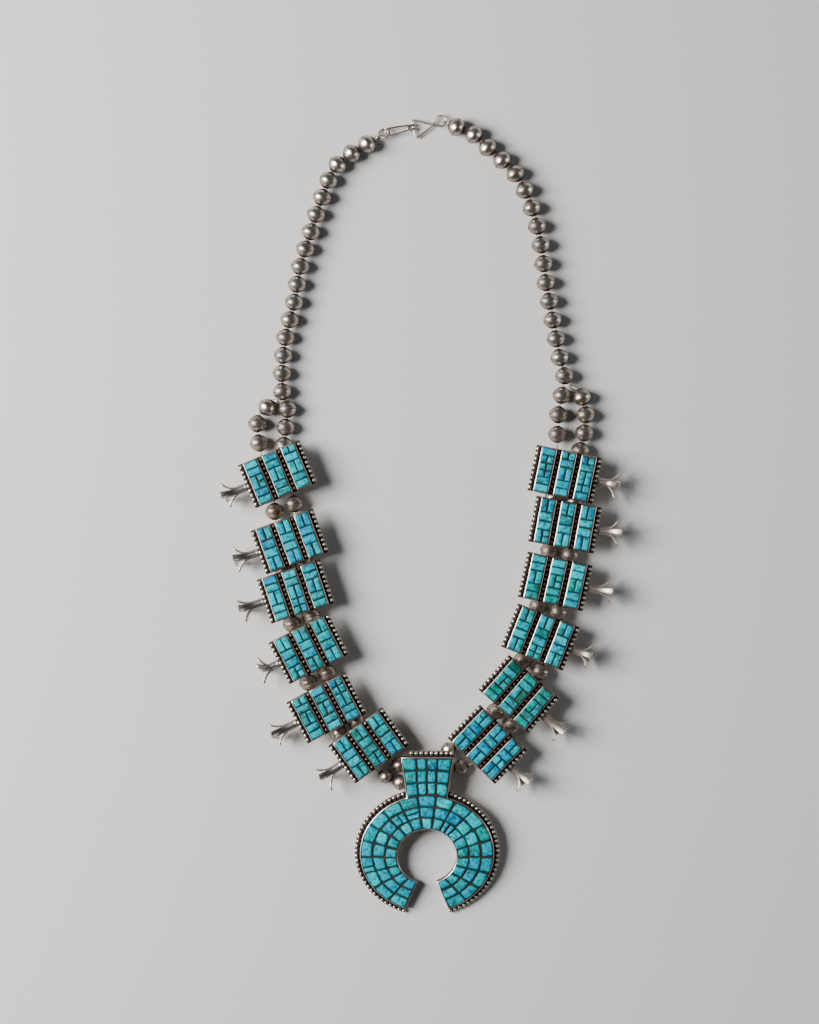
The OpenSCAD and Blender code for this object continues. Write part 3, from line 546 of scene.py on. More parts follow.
def tube(path, d, sides=12, closed=False, twist=0.0, lobes=0, depth=0.0):
    """A round section carried along a path: its across direction is handed on from point to point,
    and each ring is middle + radius * (cos * across + sin * (along x across)). Lobes make plies."""
    p = np.asarray(path, float)
    ahead, behind = np.roll(p, -1, 0), np.roll(p, 1, 0)
    if not closed:
        ahead[-1], behind[0] = p[-1], p[0]
    along = (ahead - behind) / np.linalg.norm(ahead - behind, axis=1)[:, None]
    across = [np.cross(along[0], (0.2, 0.3, 1.0))]
    for t in along:
        step = across[-1] - (across[-1] @ t) * t
        across.append(step / np.linalg.norm(step))
    across = np.array(across[1:])
    a = (np.arange(sides) + 0.5) * 2 * np.pi / sides
    if closed:
        start = across[-1] - (across[-1] @ along[0]) * along[0]
        slip = np.arctan2(np.cross(start, across[0]) @ along[0], start @ across[0])
        a = a[None, :] + slip * np.arange(len(p))[:, None] / len(p)
    r = d / 2 * (1 - depth + depth * np.cos(lobes * (a + twist * distance_run(p)[:, None])))
    r, a = (np.broadcast_to(v, (len(p), sides))[..., None] for v in (r, a))
    grid = p[:, None] + r * (np.cos(a) * across[:, None] + np.sin(a) * np.cross(along, across)[:, None])
    return solid(grid, ring=closed, recess=0.15)


def divided(points, step):
    """Straight stretches cut into short ones of about the given length."""
    p = np.asarray(points, float)
    run = distance_run(p)
    s = np.linspace(0, run[-1], int(run[-1] / step) + 2)
    return np.stack([np.interp(s, run, p[:, k]) for k in range(3)], -1)


def strand_up(side, strand):
    """A side's strand from the bail up to its top fork bead."""
    out = []
    for i in range(TOP_PLAQUE + 1):
        out += [np.append(loop_hole(side, i, strand, e), STRING_Z) for e in (-1, 1)]
        if i < TOP_PLAQUE:
            out += bead_ends(spacer_bead(side, i, strand), STRING_Z)
    for b in fork_beads(side, strand):
        out += bead_ends(b, STRING_Z)
    return out


def strand_end(side, strand):
    """A strand's own end beside or inside the last single bead."""
    out = [np.append(parting(side, strand), STRING_Z)]
    if strand == 0:
        out.append(np.append(on_bead(single_beads(side)[-1], 0, -BEAD_L / 6), STRING_Z))
    return out


def long_string(strand):
    """One of the two strings, from one fork round to the other."""
    out = strand_end(0, strand)[::-1] + strand_up(0, strand)[::-1]
    for b in bail_beads(strand):
        out += bead_ends(b, CROSSING_Z)
    return out + strand_up(1, strand) + strand_end(1, strand)


def single_string(side):
    """The string through a side's single beads."""
    b = single_beads(side)
    out = [np.append(b[0][0], STRING_Z), bead_ends(b[0], STRING_Z)[0]]
    for one in b[1:-1]:
        out += bead_ends(one, STRING_Z)[::-1]
    return out + [bead_ends(b[-1], STRING_Z)[1], np.append(b[-1][0], STRING_Z)]


string_wire = silver("string wire", (0.68, 0.6, 0.47), (0.3, 0.22, 0.15), 0.7, 0.3, 0.3)
for name, path in (("left", single_string(0)), ("right", single_string(1)),
                   ("inner", long_string(0)), ("outer", long_string(1))):
    wire = tube(divided(path, STRING_STEP), STRING_D, 9, twist=TWIST, lobes=PLIES, depth=PLY_DEPTH)
    piece(f"wire_{name}", [wire], string_wire, "string", f"string_{name}")

# At each fork a thin bright wire passes over the parting strings, and a few turns of it bind the
# outer one where it enters its first bead
fork_wire = silver("fork wire", (0.88, 0.8, 0.6), (0.5, 0.38, 0.22), 0.45, 0.22, 0.2)
TIE_D, TIE_COIL_D, TIE_TURNS, TIE_RISE, TIE_SAG = 0.42, 1.45, 4, 0.75, (0.5, -0.6)
KNOT_FROM, KNOT_TO = 0.12, 0.42


def coil(a, b, d, turns):
    """Points of a screw line round the way from a to b."""
    along = (b - a) / np.linalg.norm(b - a)
    across = np.cross(along, (0, 0, 1.0))
    across /= np.linalg.norm(across)
    t = np.linspace(0, 1, 14 * turns + 1)[:, None]
    w = 2 * np.pi * turns * t
    return a + t * (b - a) + d / 2 * (np.cos(w) * across + np.sin(w) * np.cross(along, across))


for side, word in enumerate(SIDES):
    start = np.append(parting(side, 0), STRING_Z)
    stop = bead_ends(fork_beads(side, 1)[-1], STRING_Z)[1]
    f = np.linspace(0, 1, 7)[:, None]
    over = start + f * (stop - start) + 4 * f * (1 - f) * [0, TIE_SAG[side], TIE_RISE]
    knot = coil(*(stop + share * (start - stop) for share in (KNOT_FROM, KNOT_TO)), TIE_COIL_D, TIE_TURNS)
    piece(f"fork_tie_{word}", [tube(curve(over, 5), TIE_D, 8), tube(knot, TIE_D, 8)], fork_wire, "string")


# Plaques
# Twelve soldered silver pieces: a sheet plate, three upright box bezels of strip, rows of round
# drops in the channels and along both edges, wire loops behind for the strings, and a blossom.

BEZEL_W, BEZEL_WALL, BEZEL_H, BEZEL_CORNER, CHANNEL_W = 6.6, 0.45, 2.6, 0.5, 1.9
PLATE_T, PLATE_CORNER, DROP_PITCH, DROP_SINK, LOOP_HOLE = 0.8, 0.45, 2.05, 0.35, 2.2
PLATE_Z = BEAD_D + 0.2
PLAQUE_W = 3 * BEZEL_W + 2 * CHANNEL_W + 2 * EDGE_W + DROP_D
COLUMN = BEZEL_W + CHANNEL_W
# Side, name, lean and place of each plaque
PLACES = [(side, name, lean, (*plaque_at(side, i), PLATE_Z))
          for side in (0, 1) for i, (name, _, lean) in enumerate(PLAQUES[side])]
worked_silver = silver("worked silver", (0.8, 0.76, 0.7), (0.33, 0.27, 0.22), 0.6, 0.25, 0.35)
# The left side's blossoms wear a darker, cooler copy of the silver: painted shade and a painted reflection of
# the dim room
blossom_silver = (
    silver("dark blossom silver", (0.84, 0.82, 0.79), (0.22, 0.205, 0.2), 0.8, 0.22, 0.3),
    silver("blossom silver", (0.88, 0.84, 0.77), (0.34, 0.27, 0.21), 0.6, 0.31, 0.3))


def rounded(half_w, half_l, radius, arc=4, along_x=1, along_y=1):
    """A rectangle with round corners, counter-clockwise from its right side, as (points, 2)."""
    rows = []
    for k, (sx, sy) in enumerate(((1, 1), (-1, 1), (-1, -1), (1, -1))):
        a = np.radians(90 * k + np.linspace(0, 90, arc))
        corner = np.array([sx * (half_w - radius), sy * (half_l - radius)])
        rows.append(corner + radius * np.stack([np.cos(a), np.sin(a)], -1))
    out = []
    for k in range(4):
        a, b = rows[k][-1], rows[(k + 1) % 4][0]
        n = along_x if k % 2 == 0 else along_y
        t = np.arange(1, n)[:, None] / n
        out += [rows[k], a + t * (b - a)]
    return np.concatenate(out)


def stacked(outlines, heights):
    """Outlines of equal count, each lifted to its height."""
    heights = np.asarray(heights, float)
    outlines = np.stack(outlines)
    if heights.ndim == 1:
        heights = np.broadcast_to(heights[:, None], outlines.shape[:2])
    return np.concatenate([outlines, heights[..., None]], -1)


def sheet(outline, thick, marks):
    """A sheet with its edge softened above and below; outline(c) is its outline drawn in by c."""
    grid = stacked([outline(c) for c in (0.1, 0.0, 0.0, 0.12)], [0, 0.1, thick - 0.12, thick])
    return solid(grid, recess=np.array(marks)[None, :, None])


def plate_outline(c):
    """The plaque's plate, drawn in by c."""
    return rounded(PLAQUE_W / 2 - c, PLAQUE_L / 2 - c, PLATE_CORNER - c)


# Inset from the strip's outer face, height over the plate, and recess mark round the strip: its outer face is
# burnished over towards the stones. The mark holds patina low on the wall and beside the stones, and also
# paints shade on the inner slope of the lip, so that only the outward slope shows a bright line.
STRIP = np.array([
    (0.0, -0.2, 1.3), (0.0, 0.5, 1.2), (0.0, 1.4, 1.0), (0.01, 1.95, 0.8), (0.05, 2.2, 0.6),
    (0.11, 2.36, 0.35), (0.19, 2.45, 0.05), (0.28, 2.51, -0.2), (0.37, 2.55, 0.0), (0.43, 2.54, 1.0),
    (0.45, 1.8, 1.3)])


def upper(z):
    """How far up a strip's wandering part a height is: 0 up to 1 mm, and about 1 at its edge."""
    return max(z - 1, 0) / 1.6


def bezel(x):
    """The strip's section carried round a box. Its upper edge wanders a little by low waves."""
    grids = []
    base = rounded(BEZEL_W / 2, BEZEL_L / 2, BEZEL_CORNER, 4, 3, 9)
    run = np.arange(len(base)) * 2 * np.pi / len(base)
    a, b = rng.uniform(0, 2 * np.pi, 2)
    wander = 0.045 * np.sin(3 * run + a) + 0.035 * np.sin(7 * run + b)
    sag = np.minimum(0.03 * np.sin(4 * run + b), 0.0)
    for inset, z, _ in STRIP:
        outline = rounded(BEZEL_W / 2 - inset, BEZEL_L / 2 - inset, max(BEZEL_CORNER - inset, 0.12), 4, 3, 9)
        pinch = upper(z) * np.maximum(wander, -0.02) / (BEZEL_W / 2)
        outline = outline * (1 - pinch[:, None] * [1, 0.3])
        grids.append(np.column_stack([outline + [x, 0], PLATE_T + z + sag * upper(z)]))
    return solid(np.stack(grids), ring=True, recess=STRIP[None, :, None, 2])


DROP_RINGS, DROP_SIDES = np.radians([-42, -8, 22, 48, 74]), 12


def drops(places, top, soot_and_shade=0.0, stain=0.0):
    """Small melted balls: rings of a sphere up to a flat crown, each a little off its place and size. Soot
    and painted shade are added to every ball's mark, or to each its own, and so is stain to its brown one."""
    n = len(places)
    a = np.arange(DROP_SIDES) * 2 * np.pi / DROP_SIDES
    r = DROP_D / 2 * rng.uniform(0.93, 1.0, n)[:, None, None]
    flat = rng.uniform(0.88, 1.0, n)[:, None, None]
    middle = (np.asarray(places, float) + rng.uniform(-0.05, 0.05, (n, 2)))[:, None, None]
    e = DROP_RINGS[None, :, None]
    x = middle[..., 0] + r * np.cos(e) * np.cos(a)
    y = middle[..., 1] + r * np.cos(e) * np.sin(a)
    z = top + DROP_D / 2 - DROP_SINK + flat * r * np.sin(e) + 0 * a
    recess = np.array([1.3, 1.0, 0.4, 0.0, 0.0])[None, :, None] + np.asarray(soot_and_shade)[..., None, None]
    return solid(np.stack([x, y, z], -1), recess=recess, stain=np.asarray(stain)[..., None, None])


def string_loop(x, y, z, top, lean=0.0):
    """A wire loop under a plate: two legs and a half ring round the string."""
    bend = (LOOP_HOLE + LOOP_WIRE) / 2
    low = z - STRING_D / 2 - 0.15 - LOOP_WIRE / 2
    a = np.radians(np.linspace(180, 360, 11))
    arc = np.stack([bend * np.cos(a), 0 * a, low + bend + bend * np.sin(a)], -1)
    legs = np.linspace(low + bend, top, 4)[1:]
    path = np.concatenate([[(-bend, 0, h) for h in legs[::-1]], arc, [(bend, 0, h) for h in legs]])
    return moved(tube(path, LOOP_WIRE, 10), lean, (x, y, 0))


STEM_D, PETAL_W, PETAL_T, SLIT_FROM, BEND_FROM = 3.5, 3.3, 0.8, 1.0, 3.6
# Half the angle of the tube that a petal keeps, and how deep the stem sits in the plate's edge
PETAL_HALF, STEM_IN = 41, 0.1
# Each blossom's lean towards the clasp, then its four petals, each with its turn about the stem from
# straight up towards the bail, how far its tip stands off the stem's line, and its reach
BLOSSOMS = {
    "l1": (0, (-9, 5.2, 11.3), (90, 5.5, 9.7), (157, 4.7, 10.3), (-90, 5.6, 9.7)),
    "l2": (3, (-13, 5.0, 10.8), (88, 5.5, 10.0), (160, 4.8, 10.8), (-92, 5.2, 9.6)),
    "l3": (0, (-9, 4.8, 10.9), (68, 6.0, 9.6), (175, 4.6, 9.6), (-86, 4.1, 10.6)),
    "l4": (0, (-41, 5.5, 8.3), (78, 4.9, 9.2), (196, 4.5, 8.0), (-88, 6.2, 6.9)),
    "l5": (2, (0, 5.0, 11.6), (90, 5.5, 10.4), (155, 4.7, 10.8), (-90, 4.6, 10.9)),
    "l6": (2, (-9, 4.8, 10.5), (88, 6.9, 9.5), (180, 4.6, 9.2), (-90, 4.3, 10.0)),
    "r1": (2, (0, 4.6, 7.5), (90, 6.7, 8.3), (182, 4.4, 10.2), (-90, 5.5, 8.8)),
    "r2": (7, (0, 4.4, 9.8), (90, 6.4, 8.7), (175, 4.6, 9.0), (-90, 4.8, 8.2)),
    "r3": (6, (0, 4.2, 10.4), (90, 5.5, 10.5), (178, 4.5, 9.6), (-90, 4.9, 9.1)),
    "r4": (2, (-3, 4.6, 8.7), (90, 5.6, 8.4), (152, 4.7, 8.9), (-88, 5.0, 8.0)),
    "r5": (1, (-5, 3.8, 10.9), (90, 5.5, 10.0), (158, 4.5, 9.8), (-90, 5.1, 9.5)),
    "r6": (5, (-5, 4.0, 9.7), (90, 6.3, 8.3), (148, 4.6, 8.7), (-88, 4.0, 8.4))}
# Blossoms painted darker as shade, and how much their mark grows
SHADED_BLOSSOMS = {"r4": 0.12, "r5": 0.18, "r6": 0.12}


def stem_shape():
    """The blossom's foot along +X, before the tube is slit: a ring of section points spun round."""
    rim, wall = SLIT_FROM + 0.3, 0.45
    section = np.array([
        (-0.6, 1.8, 1.2), (0.05, 1.78, 1.1), (0.25, 1.74, 0.6), (rim - 0.1, STEM_D / 2 - 0.03, 0.5),
        (rim, STEM_D / 2 - 0.1, 0.5), (rim - 0.02, STEM_D / 2 - wall, 1.2), (0.3, 0.3, 1.3)])
    a = np.arange(28) * 2 * np.pi / 28
    x, r = section[:, 0, None] + 0 * a, section[:, 1, None] + 0 * a
    grid = np.stack([x, r * np.cos(a), r * np.sin(a)], -1)
    return solid(grid, recess=section[None, :, None, 2])


def petal_shape(turn, flare, reach, curl):
    """One strip of the slit tube. Its way along x first keeps the tube's radius, and then follows an
    ellipse's arc of curl degrees outwards; s is its share. Across, it keeps the tube's bow and
    flattens as it bends. The section is a flat oval, narrowed to a rounded tip."""
    lead = np.linspace(SLIT_FROM, BEND_FROM, 5)[:-1]
    s, curl = np.append(0 * lead, np.linspace(0, 1, 13)), np.radians(curl)
    from_axis = STEM_D / 2 - PETAL_T / 2
    x = np.append(lead, BEND_FROM + (reach - BEND_FROM) * np.sin(s[4:] * curl) / np.sin(curl))
    y = from_axis + (flare - from_axis) * (1 - np.cos(s * curl)) / (1 - np.cos(curl))
    along = np.stack([np.gradient(x), np.gradient(y)], -1)
    along /= np.linalg.norm(along, axis=1)[:, None]
    side = np.stack([-along[:, 1], along[:, 0]], -1)
    tip = np.sqrt(np.clip(1 - np.clip((s - 0.86) / 0.15, 0, 1) ** 3, 0.05, 1))
    root = STEM_D / 2 * np.sin(np.radians(PETAL_HALF))
    half_w = (root + (PETAL_W / 2 - root) * s ** 0.6) * tip
    half_t = PETAL_T / 2 * (0.75 + 0.25 * tip)
    a = np.arange(16) * 2 * np.pi / 16
    v = half_w[:, None] * np.sign(np.cos(a)) * np.abs(np.cos(a)) ** 0.7
    t = half_t[:, None] * np.sign(np.sin(a)) * np.abs(np.sin(a)) ** 0.7
    bow = 0.1 + 0.3 * (1 - s)[:, None] ** 2
    off = t - bow * v ** 2 / (STEM_D / 2)
    grid = np.stack([x[:, None] + off * side[:, :1], v, y[:, None] + off * side[:, 1:]], -1)
    grid[..., 1:] = turned(grid[..., 1:], turn)
    # Patina and painted shade: the inner face is darkest and the outer face darker too, while the rims are
    # kept cleaner so they show as bright lines
    face = 1 - np.abs(np.cos(a)) ** 6
    mark = np.where(np.sin(a) < 0, 1.0 - 0.45 * s[:, None], 0.55 - 0.2 * s[:, None])
    mark = face * mark - 0.15 * (1 - face)
    return solid(grid, recess=mark[None])


# The petal that points down is left out of the painted shade that darkens the rest towards the bottom
DOWN_PETAL = 3


def blossom(out, added_shade, lean, *petals):
    """A blossom along +X or -X: its foot and four petals, each bent a little differently. Every mark but that
    petal's grows downwards as painted shade, and the added painted shade goes to them all."""
    shapes = [stem_shape()] + [petal_shape(*p, rng.uniform(50, 66)) for p in petals]
    for k, s in enumerate(shapes):
        s["marks"]["recess"] = s["marks"]["recess"] + added_shade
        if k != DOWN_PETAL:
            # Painted shade: the mark grows towards the blossom's underside
            s["marks"]["recess"] += np.clip(0.25 - s["points"][:, 2] / STEM_D, 0, 0.7)
        s["points"] = turned(s["points"], lean) * [out, 1, 1]
        if out < 0:
            s["loops"], s["counts"] = s["loops"][::-1], s["counts"][::-1]
    return [moved(s, 0, (out * PLAQUE_W / 2, 0, -STEM_D / 2 + PLATE_T - STEM_IN)) for s in shapes]


# How much darker than plain the drops are marked: in the channels, soot and painted shade; along the right
# edge, painted shade; along the left one, less than plain, as painted light; and how brown the channels' are
CHANNEL_SOOT_AND_SHADE, RIGHT_PAINTED_SHADE, LEFT_PAINTED_LIGHT, CHANNEL_STAIN = 0.6, 0.1, -0.25, 0.45
for side, name, lean, place in PLACES:
    rows = (-COLUMN / 2, COLUMN / 2, -PLAQUE_W / 2 + DROP_D / 2, PLAQUE_W / 2 - DROP_D / 2)
    count = int((PLAQUE_L - DROP_D) / DROP_PITCH)
    spots = np.array([(x, (k - count / 2) * DROP_PITCH) for x in rows for k in range(count + 1)])
    channel = np.abs(spots[:, 0]) < COLUMN
    soot_and_shade = np.where(channel, CHANNEL_SOOT_AND_SHADE, np.where(spots[:, 0] > 0, RIGHT_PAINTED_SHADE, LEFT_PAINTED_LIGHT))
    shapes = [sheet(plate_outline, PLATE_T, (0.45, 0.3, 0.25, 1.1)),
              drops(spots, PLATE_T, soot_and_shade, CHANNEL_STAIN * channel)]
    shapes += [bezel(c * COLUMN) for c in (-1, 0, 1)]
    shapes += [string_loop(x * STRAND_GAP / 2, e * LOOP_Y, STRING_Z - PLATE_Z, PLATE_T / 2)
               for x in (-1, 1) for e in (-1, 1)]
    piece(f"setting_{name}", [moved(s, lean, place) for s in shapes], worked_silver,
          "worked_silver", f"plaque_{name}")
    flower = blossom(-INWARD[side], SHADED_BLOSSOMS.get(name, 0.0), *BLOSSOMS[name])
    piece(f"blossom_{name}", [moved(s, lean, place) for s in flower], blossom_silver[side],
          "worked_silver", f"plaque_{name}")


# Inlay
# Small blocks of turquoise ground to fit, three columns to a plaque, bedded in dark mortar and
# polished with low pillow tops. The stones differ in blue, in cloud and in brown matrix.

turquoise_look, ins, outs = group(
    "turquoise",
    [("Tint", "NodeSocketFloat"), ("Pale", "NodeSocketFloat"), ("Matrix", "NodeSocketFloat"),
     ("Seed", "NodeSocketFloat"), ("Edge", "NodeSocketFloat")],
    [("Color", "NodeSocketColor"), ("Roughness", "NodeSocketFloat"), ("Height", "NodeSocketFloat")])
here = millimetres(turquoise_look)
seed = times(ins["Seed"], 40.0)
clouds = noise(here, 0.42, 4.0, 0.6, 0.6, seed)
mottle = noise(here, 0.95, 2.0, 0.5, 0.6, seed)
ramp = node(turquoise_look, "ShaderNodeValToRGB", {"Fac": ragged(ins["Tint"], clouds, 1.5)})
stops = ramp.color_ramp.elements
stops[0].position, stops[0].color = 0.0, (0.0, 0.08, 0.045, 1)
stops[1].position, stops[1].color = 1.0, (0.0, 0.07, 0.28, 1)
for place, tone in ((0.25, (0.0, 0.27, 0.21, 1)), (0.5, (0.0, 0.39, 0.5, 1)),
                    (0.75, (0.0, 0.23, 0.46, 1))):
    stops.new(place).color = tone
light = spread(ragged(ins["Pale"], mottle, 1.9), 0.1, 0.95)
deep = spread(noise(here, 0.7, 2.0, 0.5, 0.6, plus(seed, 5.0)), 0.49, 0.66)
colour = blend(light, ramp.outputs[0], (0.0, 0.62, 0.74, 1))
colour = blend(times(deep, 0.7), colour, (0.0, 0.07, 0.12, 1))
# Matrix: thin dark lines where a bent noise passes its middle, kept to patches
ridge = maths("ABSOLUTE", maths("SUBTRACT", noise(here, 0.34, 5.0, 0.55, 1.2, seed), 0.5))
patch = spread(plus(noise(here, 0.3, 2.0, 0.5, 0.0, plus(seed, 9.0)), ins["Matrix"]), 0.6, 0.8)
lines = times(spread(ridge, 0.008, 0.05, 1.0, 0.0), patch)
stain = times(spread(ridge, 0.02, 0.13, 1.0, 0.0), patch)
colour = blend(times(stain, 0.35), colour, (0.03, 0.11, 0.07, 1))
colour = blend(times(lines, 0.7), colour, (0.03, 0.017, 0.009, 1))
# Grime of the mortar on a stone's ragged shoulders, together with painted shade there
edge = spread(ragged(ins["Edge"], mottle, 1.5), 0.2, 0.85)
put_out(outs, Color=blend(times(edge, 0.85), colour, (0.0, 0.03, 0.032, 1)),
        Roughness=plus(0.3, plus(times(lines, 0.35), times(mottle, 0.14))),
        Height=maths("SUBTRACT", times(mottle, 0.35), lines))
turquoise, _, shader = wearing("polished turquoise", turquoise_look,
                               ("Tint", "Pale", "Matrix", "Seed", "Edge"), 0.35, 0.00006)
shader.inputs["Specular IOR Level"].default_value = 0.14

mortar, tree, shader = material("dark mortar")
here = millimetres(tree)
grit = noise(here, 3.5, 4.0, 0.7)
rust = spread(noise(here, 0.5, 3.0, 0.6), 0.48, 0.7)
tone = blend(grit, (0.004, 0.018, 0.02, 1), (0.03, 0.046, 0.042, 1))
tone = blend(times(rust, 0.85), tone, (0.085, 0.036, 0.028, 1))
tree.links.new(tone, shader.inputs["Base Color"])
shader.inputs["Roughness"].default_value = 0.75
shader.inputs["Specular IOR Level"].default_value = 0.12
embossed(shader, grit, 0.7, 0.0001)

# Columns of stones, left to right, top first: w is one wide stone, d two short ones side by side,
# p a pair of tall ones, and q, r or s that pair with its left one, its right one or both cut in two
CHARTS = {
    "l6": ("pwwp", "pwwr", "pwwp"), "l5": ("dwpww", "wwpww", "ddpww"), "l4": ("pwwr", "pwwp", "pwwp"),
    "l3": ("wwpww", "wwpdd", "wwpww"), "l2": ("pwwp", "pwwp", "pwwp"), "l1": ("wwrww", "wwpww", "dwpww"),
    "r6": ("qwwp", "pwwp", "pwdp"), "r5": ("wwrww", "wwpww", "wwpww"), "r4": ("pwwp", "pwws", "pwwp"),
    "r3": ("wwpww", "wwrww", "wwpww"), "r2": ("pwwr", "pwwp", "pwwp"), "r1": ("wdsww", "dwpww", "dwpdw")}
# Each plaque's own tint, from green at 0 to blue at 1, and how much matrix its stones hold
TINTS = {"l1": (0.52, 0.1), "l2": (0.56, 0.08), "l3": (0.53, 0.08), "l4": (0.52, 0.1), "l5": (0.54, 0.14),
         "l6": (0.49, 0.07), "r1": (0.56, 0.14), "r2": (0.55, 0.06), "r3": (0.44, 0.04), "r4": (0.52, 0.08),
         "r5": (0.44, 0.1), "r6": (0.66, 0.12)}
# Stones that stand out, by column and number: tint, paleness and matrix
SPECIAL = {"l1": {(1, 5): (0.4, 0.5, 0.5)}, "l6": {(0, 3): (0.3, 1.0, 0.2), (1, 3): (0.4, 0.3, 0.35)},
           "r1": {(2, 3): (0.45, 0.3, 0.5)}, "r3": {(0, 4): (0.2, 0.2, 0.0), (1, 4): (0.24, 0.3, 0.0),
                                                    (2, 0): (0.5, 0.9, 0.0), (2, 1): (0.48, 1.0, 0.0)},
           "r4": {(1, 2): (0.3, 0.0, 0.15), (2, 0): (0.28, 0.5, 0.3), (2, 2): (0.5, 1.0, 0.1)},
           "r5": {(0, 0): (0.02, 0.0, 0.1), (0, 3): (0.3, 0.9, 0.45), (0, 4): (0.26, 0.2, 0.1),
                  (0, 5): (0.16, 0.1, 0.1), (1, 0): (0.26, 0.1, 0.1), (1, 3): (0.24, 0.0, 0.45),
                  (2, 1): (0.32, 0.0, 0.4)}}
PLAQUE_JOINT, PLAQUE_CORNER, BED_ROOM = 0.34, (0.12, 0.5), 0.14
# The most that a joint along, between two stones, or through one is off its even place
JOINT_DRIFT, PAIR_DRIFT, CUT_DRIFT = 0.13, 0.14, 0.3
# Height over the bezel's edge, inset as a share of the stone's smaller half, and edge mark: mortar grime on
# the shoulders, and painted shade there
PILLOW = np.array([
    (-2.4, 0.0, 1.2), (-0.3, 0.0, 1.1), (-0.12, 0.02, 0.9), (0.02, 0.06, 0.65), (0.12, 0.14, 0.43),
    (0.22, 0.32, 0.2), (0.28, 0.58, 0.05), (0.3, 0.86, 0.0)])


def stone(cell, half_w, half_l, joint, corners, top, tint, pale, matrix):
    """One stone: round-cornered outlines drawn in step by step under a pillow top, then bent to its
    cell. cell maps a share from -1 to 1 across and along to x and y; the corners are knocked and
    the top leans a little."""
    hw, hl = half_w - joint / 2, half_l - joint / 2
    small = min(hw, hl)
    corner = small * rng.uniform(*corners)
    knock = rng.uniform(-0.42, 0.42, (2, 2, 2)) * joint
    lean, lift = rng.uniform(-0.05, 0.05, 2), rng.uniform(-0.05, 0.06)
    rows = []
    for z, inset, _ in PILLOW:
        t = inset * small
        p = rounded(hw - t, hl - t, max(corner - t * 0.7, 0.06 * small), 5, 3, 3)
        fx, fy = ((p / [hw, hl] + 1) / 2).T
        shift = sum(w[:, None] * knock[a, b] for a, b, w in (
            (0, 0, (1 - fx) * (1 - fy)), (1, 0, fx * (1 - fy)), (0, 1, (1 - fx) * fy), (1, 1, fx * fy)))
        p = p + shift
        xy = cell(p[:, 0] / half_w, p[:, 1] / half_l)
        high = 0.0 if z < -1 else lift + lean[0] * p[:, 0] / hw + lean[1] * p[:, 1] / hl
        rows.append(np.column_stack([xy, top + z + high + 0 * p[:, 0]]))
    return solid(np.stack(rows), tint=tint, pale=pale, matrix=matrix, seed=rng.uniform(0, 1),
                 edge=PILLOW[None, :, None, 2])


def block(x0, x1, y0, y1):
    """A cell that is a plain rectangle."""
    return lambda u, v: np.stack([(x0 + x1) / 2 + u * (x1 - x0) / 2, (y0 + y1) / 2 + v * (y1 - y0) / 2], -1)


def stone_marks(tint, matrix):
    """A stone's tint, paleness and matrix, scattered round what its piece has."""
    pale = 0.15 + 0.5 * rng.uniform() ** 3
    return tint + rng.normal(0, 0.09), pale, matrix + max(rng.normal(0, 0.1), -0.08)


def column_stones(codes, x, tint, matrix, special):
    """A column's stones, its joints a little off their even places."""
    w, l = (box - 2 * BEZEL_WALL - BED_ROOM + PLAQUE_JOINT for box in (BEZEL_W, BEZEL_L))
    share = np.array([1.0 if c in "wd" else 0.5 + 0.25 * len(codes) for c in codes])
    edges = l / 2 - l * np.append(0, np.cumsum(share)) / share.sum()
    edges[1:-1] += rng.uniform(-JOINT_DRIFT, JOINT_DRIFT, len(codes) - 1)
    out = []
    for code, y1, y0 in zip(codes, edges, edges[1:]):
        mid = rng.uniform(-PAIR_DRIFT, PAIR_DRIFT)
        spans = [(-w / 2, w / 2)] if code == "w" else [(-w / 2, mid), (mid, w / 2)]
        for k, (x0, x1) in enumerate(spans):
            cut = code == "s" or (code == "q" and k == 0) or (code == "r" and k == 1)
            ym = (y0 + y1) / 2 + rng.uniform(-CUT_DRIFT, CUT_DRIFT)
            for a, b in ([(y0, ym), (ym, y1)] if cut else [(y0, y1)]):
                marks = special.get(len(out)) or stone_marks(tint, matrix)
                out.append(stone(block(x + x0, x + x1, a, b), (x1 - x0) / 2, (b - a) / 2,
                                 PLAQUE_JOINT, PLAQUE_CORNER, PLATE_T + BEZEL_H, *marks))
    return out


def bed_shape(x):
    """The mortar that fills a bezel up to the stones' shoulders."""
    w, l = BEZEL_W / 2 - BEZEL_WALL - 0.01, BEZEL_L / 2 - BEZEL_WALL - 0.01
    levels = [(0.0, 0.02), (0.0, BEZEL_H - 0.26), (0.12, BEZEL_H - 0.22), (0.5, BEZEL_H - 0.23)]
    grid = stacked([rounded(w - c, l - c, 0.4 - c / 2, 4, 3, 9) + [x, 0] for c, _ in levels],
                   [PLATE_T + z for _, z in levels])
    return solid(grid)


for _, name, lean, place in PLACES:
    stones = []
    for c in range(3):
        special = {n: marks for (column, n), marks in SPECIAL.get(name, {}).items() if column == c}
        stones += column_stones(CHARTS[name][c], (c - 1) * COLUMN, *TINTS[name], special)
    piece(f"stones_{name}", [moved(s, lean, place) for s in stones], turquoise, "turquoise",
          f"inlay_{name}")
    piece(f"mortar_{name}", [moved(bed_shape(c * COLUMN), lean, place) for c in (-1, 0, 1)],
          mortar, None, f"inlay_{name}")


# Naja
# A crescent open at its foot with a bail above it, cut from one sheet. A single bezel strip runs
# round both, drops are soldered along the outside and along the bail's top ledge. It lies on the
# crescent's lower end, and its bail rests on the small beads.

